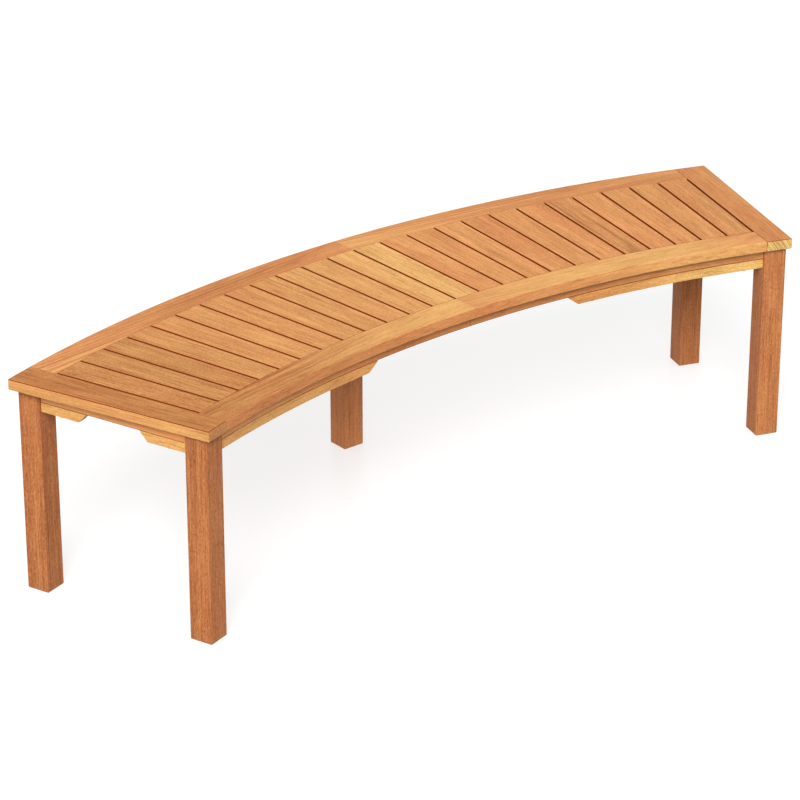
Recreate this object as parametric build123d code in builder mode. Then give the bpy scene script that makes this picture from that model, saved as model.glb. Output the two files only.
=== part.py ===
from build123d import *

import os
from math import asin, cos, degrees, radians, sin, sqrt, tan

# Curved wooden garden bench, in millimetres. +Z is up, +X runs along the length and +Y points to the
# convex side. The origin is on the floor, at the centre of the bench's box.

# Seat, seen from above
inner_radius = 2182.0  # concave edge of the seat
seat_depth = 457.0  # from the concave edge to the convex one
slats_per_half = 12
board_pitch = 1.545  # degrees from one gap to the next
end_board_sweep = 1.56  # degrees from the last gap to the end of the bench
slat_gap = 5.0
rail_width = 62.0

# Heights
seat_height = 450.0
board_thickness = 22.0
apron_height = 22.0
cleat_height = 20.0

# Legs
leg_size = 50.0
inner_leg_inset = 10.0  # from the concave edge to the inner legs
outer_leg_inset = 8.0  # from the convex edge to the outer corner legs
centre_leg_inset = 13.0  # from the convex edge to the centre leg
foot_chamfer = 2.0

# Aprons, cleats and cross rail
apron_thickness = 20.0
apron_recess = 5.0  # from the legs' outside faces to the aprons and cleats
side_cleat_length = 466.0
side_cleat_bevel = 26.0
short_cleat_length = 107.0
short_cleat_bevel = 18.0
cross_rail_width = 60.0
cross_rail_setback = 0.2  # at each end of the cross rail

# Eased edges
board_edge_radius = 2.0
slat_edge_radius = 1.5
leg_edge_radius = 2.5

# Mortise and tenon joints
tenon_thickness = 9.0
slat_tenon_width = 34.0
slat_tenon_length = 14.0
rail_tenon_width = 36.0
rail_tenon_length = 12.0
leg_tenon_size = 22.0
leg_tenon_height = 12.0
mortise_clearance = 0.2
shoulder_clearance = 0.2

# Dowels
dowel_diameter = 8.0
dowel_length = 40.0
dowel_clearance = 0.1
rail_dowel_spacing = 20.0
cross_rail_dowel_spacing = 28.0
cross_rail_dowel_depth = 12.0  # into the inner aprons

# Bolts that hold the cleats and aprons to the seat
bolt_diameter = 6.0
bolt_head_diameter = 10.5
bolt_head_height = 2.8
bolt_head_edge_radius = 2.0
bolt_socket_across_flats = 4.0
bolt_socket_depth = 1.8
bolt_hole_clearance = 0.5
bolt_end_distance = 40.0  # from an end of a side cleat's underside to its bolt
washer_diameter = 12.5
washer_thickness = 1.0
insert_diameter = 10.0
insert_length = 13.0
insert_clearance = 0.1
bolt_tip_clearance = 1.0

# Countersunk screws that hold the aprons between the cleats, and the cross rail to the middle slats
screw_diameter = 4.5
screw_head_diameter = 9.0
screw_head_height = 4.0
screw_bite = 14.0  # into the seat's boards
screw_clearance = 0.1
inner_screw_angles = (1.2, 4.2)  # degrees from the middle of the bench
outer_screw_angle = 4.6
cross_screw_spacing = 36.0
cross_screw_end_distance = 80.0  # from an end of the cross rail to its screws

# Sizes that follow
outer_radius = inner_radius + seat_depth
half_field = slats_per_half * board_pitch
half_sweep = half_field + end_board_sweep
centre_y = -(outer_radius + inner_radius * cos(radians(half_sweep))) / 2
end_edge = slat_gap / 2  # from the last gap's middle to the end board
seat_underside = seat_height - board_thickness
apron_underside = seat_underside - apron_height
cleat_underside = apron_underside - cleat_height
tenon_level = seat_height - board_thickness / 2
cleat_level = apron_underside - cleat_height / 2
screw_length = apron_height + screw_bite
inner_rail_edge = inner_radius + rail_width
outer_rail_edge = outer_radius - rail_width
inner_apron_face = inner_radius + inner_leg_inset + apron_recess
inner_apron_back = inner_apron_face + apron_thickness
outer_apron_face = outer_radius - outer_leg_inset - apron_recess
outer_apron_back = outer_apron_face - apron_thickness
inner_apron_middle = (inner_apron_face + inner_apron_back) / 2
outer_apron_middle = (outer_apron_face + outer_apron_back) / 2
inner_leg_start = inner_radius + inner_leg_inset
outer_leg_start = outer_radius - outer_leg_inset - leg_size
centre_leg_start = outer_radius - centre_leg_inset - leg_size
end_apron_face = end_edge + leg_size - apron_recess
end_apron_middle = end_apron_face - apron_thickness / 2


# Places: an angle is measured from the middle of the bench, about the centre of the seat's arcs


def along(angle):
    """Direction along the seat, towards +X, at an angle."""
    return Vector(cos(radians(angle)), -sin(radians(angle)), 0)


def outward(angle):
    """Direction from the concave side to the convex side at an angle."""
    return Vector(sin(radians(angle)), cos(radians(angle)), 0)


def plan_point(radius, angle):
    """Point of the plan at a radius and an angle."""
    return Vector(0, centre_y, 0) + outward(angle) * radius


def end_point(offset, radius, height=0):
    """Point at an offset beyond the last gap's middle, measured square to that gap."""
    return plan_point(radius, half_field) + along(half_field) * offset + Vector(0, 0, height)


def angle_at_x(radius, x):
    """Angle where an arc meets the upright plane at x."""
    return degrees(asin(x / radius))


def angle_at_end(radius):
    """Angle where an arc meets the end board's inside edge."""
    return half_field + degrees(asin(end_edge / radius))


def turned_plane(angle, height):
    """Level plane about the arcs' centre, with X along the seat and Y outward at an angle."""
    return Plane(origin=(0, centre_y, height), x_dir=along(angle), z_dir=(0, 0, 1))


def strip_outline(inner, outer, inner_angles, outer_angles):
    """Closed outline of a curved strip between two arcs, from a first to a last angle on each."""
    for radius, (first, last) in ((inner, inner_angles), (outer, outer_angles)):
        middle = (first + last) / 2
        ThreePointArc(plan_point(radius, first), plan_point(radius, middle), plan_point(radius, last))
    for index in (0, 1):
        Line(plan_point(inner, inner_angles[index]), plan_point(outer, outer_angles[index]))


def half_strip_outline(inner, outer, start_x):
    """Outline of a curved strip from the upright plane at start_x to the end board's inside edge."""
    strip_outline(
        inner,
        outer,
        (angle_at_x(inner, start_x), angle_at_end(inner)),
        (angle_at_x(outer, start_x), angle_at_end(outer)),
    )


def pieces_of(name, right):
    """Write the right-hand piece and its mirror image on the left."""
    with BuildPart() as left:
        mirror(right.part, about=Plane.YZ)
    keep(f"{name}_right", right)
    keep(f"{name}_left", left)


def keep(name, piece):
    """Label a finished piece and write it."""
    piece.part.label = name
    export_step(piece.part, f"parts/{name}.step")


os.makedirs("parts", exist_ok=True)

# Where the fasteners stand, on the right-hand half
side_cleat_free_angle = {}
for side, radius in (("inner", inner_apron_face), ("outer", outer_apron_face)):
    side_cleat_free_angle[side] = angle_at_end(radius) - degrees(side_cleat_length / radius)
centre_cleat_free_angle = angle_at_x(outer_apron_face, leg_size / 2 + short_cleat_length)

side_bolts = {}
for side, radius in (("inner", inner_apron_middle), ("outer", outer_apron_middle)):
    free_end_bolt = side_cleat_free_angle[side] + degrees((side_cleat_bevel + bolt_end_distance) / radius)
    leg_end_bolt = angle_at_end(radius) - degrees(bolt_end_distance / radius)
    side_bolts[side] = [plan_point(radius, angle) for angle in (free_end_bolt, leg_end_bolt)]
end_bolt_radii = {
    "inner": inner_leg_start + leg_size + (short_cleat_length - short_cleat_bevel) / 2,
    "outer": outer_leg_start - (short_cleat_length - short_cleat_bevel) / 2,
}
end_bolts = {side: end_point(end_apron_middle, radius) for side, radius in end_bolt_radii.items()}
centre_bolt_x = leg_size / 2 + (short_cleat_length - short_cleat_bevel) / 2
centre_bolt = plan_point(outer_apron_middle, angle_at_x(outer_apron_middle, centre_bolt_x))
bolts = [*side_bolts["inner"], *side_bolts["outer"], *end_bolts.values(), centre_bolt]

inner_screws = [plan_point(inner_apron_middle, angle) for angle in inner_screw_angles]
outer_screw = plan_point(outer_apron_middle, outer_screw_angle)
end_screw = end_point(end_apron_middle, (inner_leg_start + leg_size + outer_leg_start) / 2)
cross_screws = [
    Vector(cross_screw_spacing / 2, centre_y + radius, 0)
    for radius in (inner_apron_back + cross_screw_end_distance, centre_leg_start - cross_screw_end_distance)
]
screws = [*inner_screws, outer_screw, end_screw, *cross_screws]
middle_screws = [Vector(side * point.X, point.Y, 0) for point in cross_screws for side in (-1, 1)]

rail_dowels = {}
for side, middle in (("inner", inner_radius + rail_width / 2), ("outer", outer_radius - rail_width / 2)):
    rail_dowels[side] = [
        Plane(origin=(0, centre_y + middle + shift, tenon_level), x_dir=(0, 1, 0), z_dir=(1, 0, 0))
        for shift in (-rail_dowel_spacing / 2, rail_dowel_spacing / 2)
    ]
side_cleat_dowels = {
    side: Plane(origin=end_point(end_edge, radius, cleat_level), z_dir=along(half_field))
    for side, radius in (("inner", inner_apron_middle), ("outer", outer_apron_middle))
}
end_cleat_dowels = {
    side: Plane(origin=end_point(end_apron_middle, radius, cleat_level), z_dir=outward(half_field))
    for side, radius in (("inner", inner_leg_start + leg_size), ("outer", outer_leg_start))
}
centre_cleat_dowel = Plane(
    origin=(leg_size / 2, centre_y + outer_apron_middle, cleat_level), z_dir=(1, 0, 0)
)
cross_rail_level = seat_underside - apron_height / 2
cross_rail_dowels = [
    Plane(origin=(cross_rail_dowel_spacing / 2, centre_y + radius, cross_rail_level), z_dir=(0, 1, 0))
    for radius in (inner_apron_back - cross_rail_dowel_depth + dowel_length / 2, centre_leg_start)
]


def on_both_halves(planes):
    """Planes of the right-hand half, with their mirror places on the left."""
    mirrored = [Plane((-p.origin.X, p.origin.Y, p.origin.Z), z_dir=p.z_dir) for p in planes]
    return [*planes, *mirrored]


def dowel_holes(planes):
    """Cut a hole for half of each dowel into the piece being made."""
    with BuildSketch(*planes) as holes:
        Circle(dowel_diameter / 2 + dowel_clearance)
    extrude(holes.sketch, amount=dowel_length / 2 + dowel_clearance, both=True, mode=Mode.SUBTRACT)


def bolt_holes(points):
    """Cut clear holes for upright bolts through the piece being made."""
    with BuildSketch(Plane.XY.offset(cleat_underside)) as holes:
        with Locations(*points):
            Circle(bolt_diameter / 2 + bolt_hole_clearance)
    extrude(holes.sketch, amount=cleat_height + apron_height, mode=Mode.SUBTRACT)


def insert_pockets(points):
    """Cut pockets for threaded inserts into the underside of the piece being made."""
    with BuildSketch(Plane.XY.offset(seat_underside)) as pockets:
        with Locations(*points):
            Circle(insert_diameter / 2 + insert_clearance)
    extrude(pockets.sketch, amount=insert_length, mode=Mode.SUBTRACT)


def screw_holes(points):
    """Cut countersunk holes for upright screws into the piece being made."""
    with Locations(*[point + Vector(0, 0, apron_underside) for point in points]):
        Cone(
            screw_head_diameter / 2 + screw_clearance,
            screw_diameter / 2 + screw_clearance,
            screw_head_height,
            align=(Align.CENTER, Align.CENTER, Align.MIN),
            mode=Mode.SUBTRACT,
        )
        Cylinder(
            screw_diameter / 2 + screw_clearance,
            screw_length + screw_clearance,
            align=(Align.CENTER, Align.CENTER, Align.MIN),
            mode=Mode.SUBTRACT,
        )


def slat_half_width(radius):
    """Half of a slat's width at a distance from the arcs' centre."""
    half_pitch = radians(board_pitch / 2)
    return radius * tan(half_pitch) - slat_gap / 2 / cos(half_pitch)


def slat_angle(index):
    """Angle of a slat's middle line, counted from the left-hand end."""
    return (index - slats_per_half + 0.5) * board_pitch


# Slats: wedges with square shoulders and a tenon at each end
slat_inner_end = inner_rail_edge + shoulder_clearance
slat_outer_end = sqrt(outer_rail_edge**2 - slat_half_width(outer_rail_edge) ** 2) - shoulder_clearance
middle_slats = (slats_per_half - 1, slats_per_half)
for index in range(2 * slats_per_half):
    with BuildPart() as slat:
        with BuildSketch(turned_plane(slat_angle(index), seat_underside)):
            with BuildLine():
                Polyline(
                    (-slat_half_width(slat_inner_end), slat_inner_end),
                    (slat_half_width(slat_inner_end), slat_inner_end),
                    (slat_half_width(slat_outer_end), slat_outer_end),
                    (-slat_half_width(slat_outer_end), slat_outer_end),
                    close=True,
                )
            make_face()
        extrude(amount=board_thickness)
        long_edges = slat.faces().sort_by(Axis.Z)[-1].edges().sort_by(SortBy.LENGTH)[-2:]
        fillet(long_edges, slat_edge_radius)
        with BuildSketch(turned_plane(slat_angle(index), tenon_level)):
            with Locations((0, (slat_inner_end + slat_outer_end) / 2)):
                Rectangle(slat_tenon_width, slat_outer_end - slat_inner_end + 2 * slat_tenon_length)
        extrude(amount=tenon_thickness / 2, both=True)
        if index in middle_slats:
            screw_holes(middle_screws)
    keep(f"slat_{index + 1:02d}", slat)


def slat_mortises(edge_radius):
    """Cut the right-hand slats' mortises into the edge of the rail being made."""
    for index in range(slats_per_half, 2 * slats_per_half):
        with BuildSketch(turned_plane(slat_angle(index), tenon_level)) as mortise:
            with Locations((0, edge_radius)):
                Rectangle(
                    slat_tenon_width + 2 * mortise_clearance,
                    2 * (slat_tenon_length + shoulder_clearance + mortise_clearance),
                )
        half_height = tenon_thickness / 2 + mortise_clearance
        extrude(mortise.sketch, amount=half_height, both=True, mode=Mode.SUBTRACT)


def rail_tenon(middle_radius):
    """Add the tenon that goes from the end of the rail being made into the end board."""
    with BuildSketch(turned_plane(half_field, tenon_level)) as tenon:
        with Locations((end_edge, middle_radius)):
            Rectangle(2 * rail_tenon_length, rail_tenon_width)
    extrude(tenon.sketch, amount=tenon_thickness / 2, both=True)


# Curved rails, each in two halves that meet at the middle of the bench
with BuildPart() as inner_rail:
    with BuildSketch(Plane.XY.offset(seat_underside)):
        with BuildLine():
            half_strip_outline(inner_radius, inner_rail_edge, 0)
        make_face()
    extrude(amount=board_thickness)
    fillet(inner_rail.edges().filter_by(GeomType.CIRCLE).group_by(SortBy.RADIUS)[0], board_edge_radius)
    rail_tenon(inner_radius + rail_width / 2)
    slat_mortises(inner_rail_edge)
    dowel_holes(rail_dowels["inner"])
    insert_pockets(side_bolts["inner"])
    screw_holes(inner_screws)
pieces_of("inner_rail", inner_rail)

with BuildPart() as outer_rail:
    with BuildSketch(Plane.XY.offset(seat_underside)):
        with BuildLine():
            half_strip_outline(outer_rail_edge, outer_radius, 0)
        make_face()
    extrude(amount=board_thickness)
    fillet(outer_rail.edges().filter_by(GeomType.CIRCLE).group_by(SortBy.RADIUS)[-1], board_edge_radius)
    rail_tenon(outer_radius - rail_width / 2)
    slat_mortises(outer_rail_edge)
    dowel_holes(rail_dowels["outer"])
    insert_pockets([*side_bolts["outer"], centre_bolt])
    screw_holes([outer_screw])
pieces_of("outer_rail", outer_rail)

# End boards: full-depth wedges over the corner legs
with BuildPart() as end_board:
    with BuildSketch(Plane.XY.offset(seat_underside)):
        with BuildLine():
            strip_outline(
                inner_radius,
                outer_radius,
                (angle_at_end(inner_radius), half_sweep),
                (angle_at_end(outer_radius), half_sweep),
            )
        make_face()
    extrude(amount=board_thickness)
    along_end = Axis((0, 0, 0), along(half_field))
    top_edges = end_board.faces().sort_by(Axis.Z)[-1].edges().sort_by(along_end)[1:]
    bottom_edges = end_board.faces().sort_by(Axis.Z)[0].edges().sort_by(along_end)[1:]
    fillet(top_edges + bottom_edges, board_edge_radius)
    with BuildSketch(turned_plane(half_field, tenon_level)):
        with Locations((end_edge, inner_radius + rail_width / 2), (end_edge, outer_radius - rail_width / 2)):
            Rectangle(
                2 * (rail_tenon_length + mortise_clearance), rail_tenon_width + 2 * mortise_clearance
            )
    extrude(amount=tenon_thickness / 2 + mortise_clearance, both=True, mode=Mode.SUBTRACT)
    with BuildSketch(turned_plane(half_field, seat_underside)):
        with Locations(
            (end_edge + leg_size / 2, inner_leg_start + leg_size / 2),
            (end_edge + leg_size / 2, outer_leg_start + leg_size / 2),
        ):
            Rectangle(leg_tenon_size + 2 * mortise_clearance, leg_tenon_size + 2 * mortise_clearance)
    extrude(amount=leg_tenon_height + mortise_clearance, mode=Mode.SUBTRACT)
    insert_pockets(end_bolts.values())
    screw_holes([end_screw])
pieces_of("end_board", end_board)

# Curved aprons under the rails
with BuildPart() as inner_apron:
    with BuildSketch(Plane.XY.offset(apron_underside)):
        with BuildLine():
            half_strip_outline(inner_apron_face, inner_apron_back, 0)
        make_face()
    extrude(amount=apron_height)
    bolt_holes(side_bolts["inner"])
    screw_holes(inner_screws)
    dowel_holes(cross_rail_dowels[:1])
pieces_of("inner_apron", inner_apron)

with BuildPart() as outer_apron:
    with BuildSketch(Plane.XY.offset(apron_underside)):
        with BuildLine():
            half_strip_outline(outer_apron_back, outer_apron_face, leg_size / 2)
        make_face()
    extrude(amount=apron_height)
    bolt_holes([*side_bolts["outer"], centre_bolt])
    screw_holes([outer_screw])
pieces_of("outer_apron", outer_apron)

# Straight aprons under the end boards, between the legs
with BuildPart() as end_apron:
    with BuildSketch(turned_plane(half_field, apron_underside)):
        with Locations((end_apron_middle, (inner_leg_start + leg_size + outer_leg_start) / 2)):
            Rectangle(apron_thickness, outer_leg_start - inner_leg_start - leg_size)
    extrude(amount=apron_height)
    bolt_holes(end_bolts.values())
    screw_holes([end_screw])
pieces_of("end_apron", end_apron)

# Cross rail under the middle joint, from the inner aprons to the centre leg
with BuildPart() as cross_rail:
    with BuildSketch(Plane((0, centre_y, apron_underside))):
        with Locations((0, (inner_apron_back + centre_leg_start) / 2)):
            Rectangle(cross_rail_width, centre_leg_start - inner_apron_back - 2 * cross_rail_setback)
    extrude(amount=apron_height)
    dowel_holes(on_both_halves(cross_rail_dowels))
    screw_holes(middle_screws)
keep("cross_rail", cross_rail)


def bevel_cut(free_angle, middle_radius, bevel):
    """Slope the free end of the curved cleat being made; a negative bevel slopes towards the middle."""
    origin = plan_point(middle_radius, free_angle) + Vector(0, 0, apron_underside)
    with BuildSketch(Plane(origin=origin, x_dir=along(free_angle), z_dir=outward(free_angle))) as corner:
        with BuildLine():
            Polyline(
                (0, 0),
                (bevel, cleat_height),
                (-bevel, cleat_height),
                (-bevel, 0),
                close=True,
            )
        make_face()
    extrude(corner.sketch, amount=apron_thickness, both=True, mode=Mode.SUBTRACT)


# Long curved cleats from the corner legs, under the aprons
side_arcs = {
    "inner": (inner_apron_face, inner_apron_back, inner_apron_middle),
    "outer": (outer_apron_back, outer_apron_face, outer_apron_middle),
}
for side, (near_arc, far_arc, middle_arc) in side_arcs.items():
    free_angle = side_cleat_free_angle[side]
    with BuildPart() as side_cleat:
        with BuildSketch(Plane.XY.offset(cleat_underside)):
            with BuildLine():
                strip_outline(
                    near_arc,
                    far_arc,
                    (free_angle, angle_at_end(near_arc)),
                    (free_angle, angle_at_end(far_arc)),
                )
            make_face()
        extrude(amount=cleat_height)
        bevel_cut(free_angle, middle_arc, side_cleat_bevel)
        bolt_holes(side_bolts[side])
        dowel_holes([side_cleat_dowels[side]])
    pieces_of(f"{side}_side_cleat", side_cleat)

# Short cleats from the corner legs, under the end aprons
end_cleat_runs = {
    "inner": (inner_leg_start + leg_size, 1),
    "outer": (outer_leg_start, -1),
}
for side, (start, direction) in end_cleat_runs.items():
    with BuildPart() as end_cleat:
        face_plane = Plane(
            origin=end_point(end_apron_face, 0),
            x_dir=outward(half_field),
            z_dir=along(half_field),
        )
        with BuildSketch(face_plane):
            with BuildLine():
                Polyline(
                    (start, apron_underside),
                    (start + direction * short_cleat_length, apron_underside),
                    (start + direction * (short_cleat_length - short_cleat_bevel), cleat_underside),
                    (start, cleat_underside),
                    close=True,
                )
            make_face()
        extrude(amount=-apron_thickness)
        bolt_holes([end_bolts[side]])
        dowel_holes([end_cleat_dowels[side]])
    pieces_of(f"{side}_end_cleat", end_cleat)

# Short cleats beside the centre leg, under the outer aprons
with BuildPart() as centre_cleat:
    with BuildSketch(Plane.XY.offset(cleat_underside)):
        with BuildLine():
            strip_outline(
                outer_apron_back,
                outer_apron_face,
                (angle_at_x(outer_apron_back, leg_size / 2), centre_cleat_free_angle),
                (angle_at_x(outer_apron_face, leg_size / 2), centre_cleat_free_angle),
            )
        make_face()
    extrude(amount=cleat_height)
    bevel_cut(centre_cleat_free_angle, outer_apron_middle, -short_cleat_bevel)
    bolt_holes([centre_bolt])
    dowel_holes([centre_cleat_dowel])
pieces_of("centre_cleat", centre_cleat)

# Corner legs: square posts with a stub tenon into the end board
for side, start in (("inner", inner_leg_start), ("outer", outer_leg_start)):
    with BuildPart() as corner_leg:
        with BuildSketch(turned_plane(half_field, 0)):
            with Locations((end_edge + leg_size / 2, start + leg_size / 2)):
                Rectangle(leg_size, leg_size)
        extrude(amount=seat_underside)
        fillet(corner_leg.edges().filter_by(Axis.Z), leg_edge_radius)
        chamfer(corner_leg.faces().sort_by(Axis.Z)[0].edges(), foot_chamfer)
        with BuildSketch(turned_plane(half_field, seat_underside)):
            with Locations((end_edge + leg_size / 2, start + leg_size / 2)):
                Rectangle(leg_tenon_size, leg_tenon_size)
        extrude(amount=leg_tenon_height)
        dowel_holes([side_cleat_dowels[side], end_cleat_dowels[side]])
    pieces_of(f"{side}_leg", corner_leg)

# Centre leg under the joint of the outer rail
with BuildPart() as centre_leg:
    with BuildSketch(Plane((0, centre_y, 0))):
        with Locations((0, centre_leg_start + leg_size / 2)):
            Rectangle(leg_size, leg_size)
    extrude(amount=seat_underside)
    fillet(centre_leg.edges().filter_by(Axis.Z), leg_edge_radius)
    chamfer(centre_leg.faces().sort_by(Axis.Z)[0].edges(), foot_chamfer)
    dowel_holes(on_both_halves([centre_cleat_dowel, cross_rail_dowels[1]]))
keep("centre_leg", centre_leg)


# Fasteners, one group of separate solids for each kind


def dowels(planes):
    """Add a dowel centred on each plane to the group being made."""
    with BuildSketch(*planes) as sections:
        Circle(dowel_diameter / 2)
    extrude(sections.sketch, amount=dowel_length / 2, both=True)


with BuildPart() as rail_joint_dowels:
    dowels([*rail_dowels["inner"], *rail_dowels["outer"]])
keep("rail_joint_dowels", rail_joint_dowels)

with BuildPart() as cleat_dowels:
    dowels([*side_cleat_dowels.values(), *end_cleat_dowels.values(), centre_cleat_dowel])
    mirror(about=Plane.YZ)
keep("cleat_dowels", cleat_dowels)

with BuildPart() as cross_rail_dowel_group:
    dowels(cross_rail_dowels)
    mirror(about=Plane.YZ)
keep("cross_rail_dowels", cross_rail_dowel_group)

bolt_tip = seat_underside + insert_length - bolt_tip_clearance
head_top = cleat_underside - washer_thickness
with BuildPart() as cleat_bolts:
    with BuildSketch(Plane.XY.offset(head_top)):
        with Locations(*bolts):
            Circle(bolt_head_diameter / 2)
    extrude(amount=-bolt_head_height)
    fillet(cleat_bolts.edges().group_by(Axis.Z)[0], bolt_head_edge_radius)
    with BuildSketch(Plane.XY.offset(head_top)):
        with Locations(*bolts):
            Circle(bolt_diameter / 2)
    extrude(amount=bolt_tip - head_top)
    with BuildSketch(Plane.XY.offset(head_top - bolt_head_height)):
        with Locations(*bolts):
            RegularPolygon(bolt_socket_across_flats / 2, 6, major_radius=False)
    extrude(amount=bolt_socket_depth, mode=Mode.SUBTRACT)
    mirror(about=Plane.YZ)
keep("cleat_bolts", cleat_bolts)

with BuildPart() as cleat_washers:
    with BuildSketch(Plane.XY.offset(head_top)):
        with Locations(*bolts):
            Circle(washer_diameter / 2)
            Circle(bolt_diameter / 2 + bolt_hole_clearance / 2, mode=Mode.SUBTRACT)
    extrude(amount=washer_thickness)
    mirror(about=Plane.YZ)
keep("cleat_washers", cleat_washers)

with BuildPart() as threaded_inserts:
    with BuildSketch(Plane.XY.offset(seat_underside)):
        with Locations(*bolts):
            Circle(insert_diameter / 2)
            Circle(bolt_diameter / 2 + insert_clearance, mode=Mode.SUBTRACT)
    extrude(amount=insert_length)
    mirror(about=Plane.YZ)
keep("threaded_inserts", threaded_inserts)

with BuildPart() as frame_screws:
    with Locations(*[point + Vector(0, 0, apron_underside) for point in screws]):
        Cone(
            screw_head_diameter / 2,
            screw_diameter / 2,
            screw_head_height,
            align=(Align.CENTER, Align.CENTER, Align.MIN),
        )
        Cylinder(screw_diameter / 2, screw_length, align=(Align.CENTER, Align.CENTER, Align.MIN))
    mirror(about=Plane.YZ)
keep("frame_screws", frame_screws)
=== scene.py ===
"""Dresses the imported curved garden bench: eased boards, oiled hardwood figure and plated fasteners."""

import logging
import math
from collections.abc import Sequence
from dataclasses import dataclass, field
from enum import Enum

import bpy
import numpy as np
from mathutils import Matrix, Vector


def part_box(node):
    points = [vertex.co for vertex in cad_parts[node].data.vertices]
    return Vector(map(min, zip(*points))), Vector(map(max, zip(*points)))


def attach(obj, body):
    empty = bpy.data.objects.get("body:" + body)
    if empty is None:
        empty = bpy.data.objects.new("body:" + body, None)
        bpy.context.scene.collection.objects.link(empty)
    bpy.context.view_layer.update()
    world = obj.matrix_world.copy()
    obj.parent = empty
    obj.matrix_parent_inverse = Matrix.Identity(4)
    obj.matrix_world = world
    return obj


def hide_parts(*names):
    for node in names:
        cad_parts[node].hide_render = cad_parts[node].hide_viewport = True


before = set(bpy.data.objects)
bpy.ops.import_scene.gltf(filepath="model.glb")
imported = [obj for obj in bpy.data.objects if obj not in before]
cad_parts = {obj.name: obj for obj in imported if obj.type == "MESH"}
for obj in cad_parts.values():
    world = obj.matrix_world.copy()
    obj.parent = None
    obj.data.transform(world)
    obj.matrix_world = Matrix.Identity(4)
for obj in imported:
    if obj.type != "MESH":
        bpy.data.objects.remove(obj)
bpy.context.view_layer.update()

log = logging.getLogger("bench")

BODY = "root"
SEED = 20
MM = 0.001
TINY = 1e-6  # keeps a division by a length of zero defined
QUARTER_TURN = math.pi / 2
UP = Vector((0.0, 0.0, 1.0))
WHITE = (1.0, 1.0, 1.0, 1.0)

BLOCK_SIZES = ("Width", "Length", "Height", "Left Ease", "Right Ease", "Start Ease", "End Ease")
FIGURE_VECTORS = ("Grain", "Look", "Marks")
# The last colour is a painted shade for the gaps between boards and for shaded eased edges.
FIGURE_COLOURS = ("Pale", "Warm", "Late", "Dark", "End Pale", "End Late", "Soaked")
FIGURE_RINGS = ("Ring Spacing", "Ring Strength", "Waver", "Lean")
FIGURE_LAYERS = ("Mottle", "Blotches", "Streaks", "Flecks", "Speckle", "Fibre", "Pores")
FIGURE_NUMBERS = FIGURE_RINGS + FIGURE_LAYERS

Colour = tuple[float, float, float]
Place = tuple[float, float, float]


class Named(Enum):
    """Option whose name is part of the names of nodes."""

    @property
    def word(self) -> str:
        """The option's part of a node's name."""
        return self.name.lower()


class Hand(Named):
    """Half of the bench, as the sign of its angles."""

    LEFT = -1
    RIGHT = 1


class Side(Named):
    """Long side of the bench, as the sign of the way to it from the seat's middle line."""

    INNER = -1
    OUTER = 1


class Slot(Enum):
    """Material slots of the record."""

    SLAT = "slat_wood"
    RAIL = "rail_wood"
    LEG = "leg_wood"
    APRON = "apron_wood"
    CLEAT = "cleat_wood"
    DOWEL = "dowel_wood"
    STEEL = "fastener_steel"


class Sawing(Enum):
    """Way a board was cut from the log: where the log's heart lies, across and below, in metres."""

    QUARTER = (0.210, 0.020)
    RIFT = (0.120, 0.100)
    FLAT = (0.020, 0.085)


class SocketKind(Enum):
    """Kinds of inputs and outputs that a node tree has."""

    FLOAT = "NodeSocketFloat"
    INTEGER = "NodeSocketInt"
    VECTOR = "NodeSocketVector"
    COLOUR = "NodeSocketColor"
    GEOMETRY = "NodeSocketGeometry"
    MATERIAL = "NodeSocketMaterial"


class Layer(Enum):
    """Layers of noise in the wood's figure.

    The values are patches per metre along and across the grain, the number of finer layers, and the strength
    of each finer layer as a share of the one before.
    """

    WAVER = (1.3, 9.0, 2.0, 0.5)
    CLEARNESS = (1.6, 8.0, 1.0, 0.5)
    DRIFT = (2.4, 17.0, 2.0, 0.5)
    BLOTCHES = (10.0, 38.0, 3.0, 0.5)
    STREAKS = (3.5, 100.0, 3.0, 1.0)
    BANDS = (1.5, 42.0, 2.0, 0.5)
    FLECKS = (15.0, 270.0, 2.0, 0.5)
    SPECKLE = (170.0, 420.0, 2.0, 0.5)
    FIBRE = (8.0, 620.0, 3.0, 0.5)
    PORES = (38.0, 1500.0, 1.0, 0.5)


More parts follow.
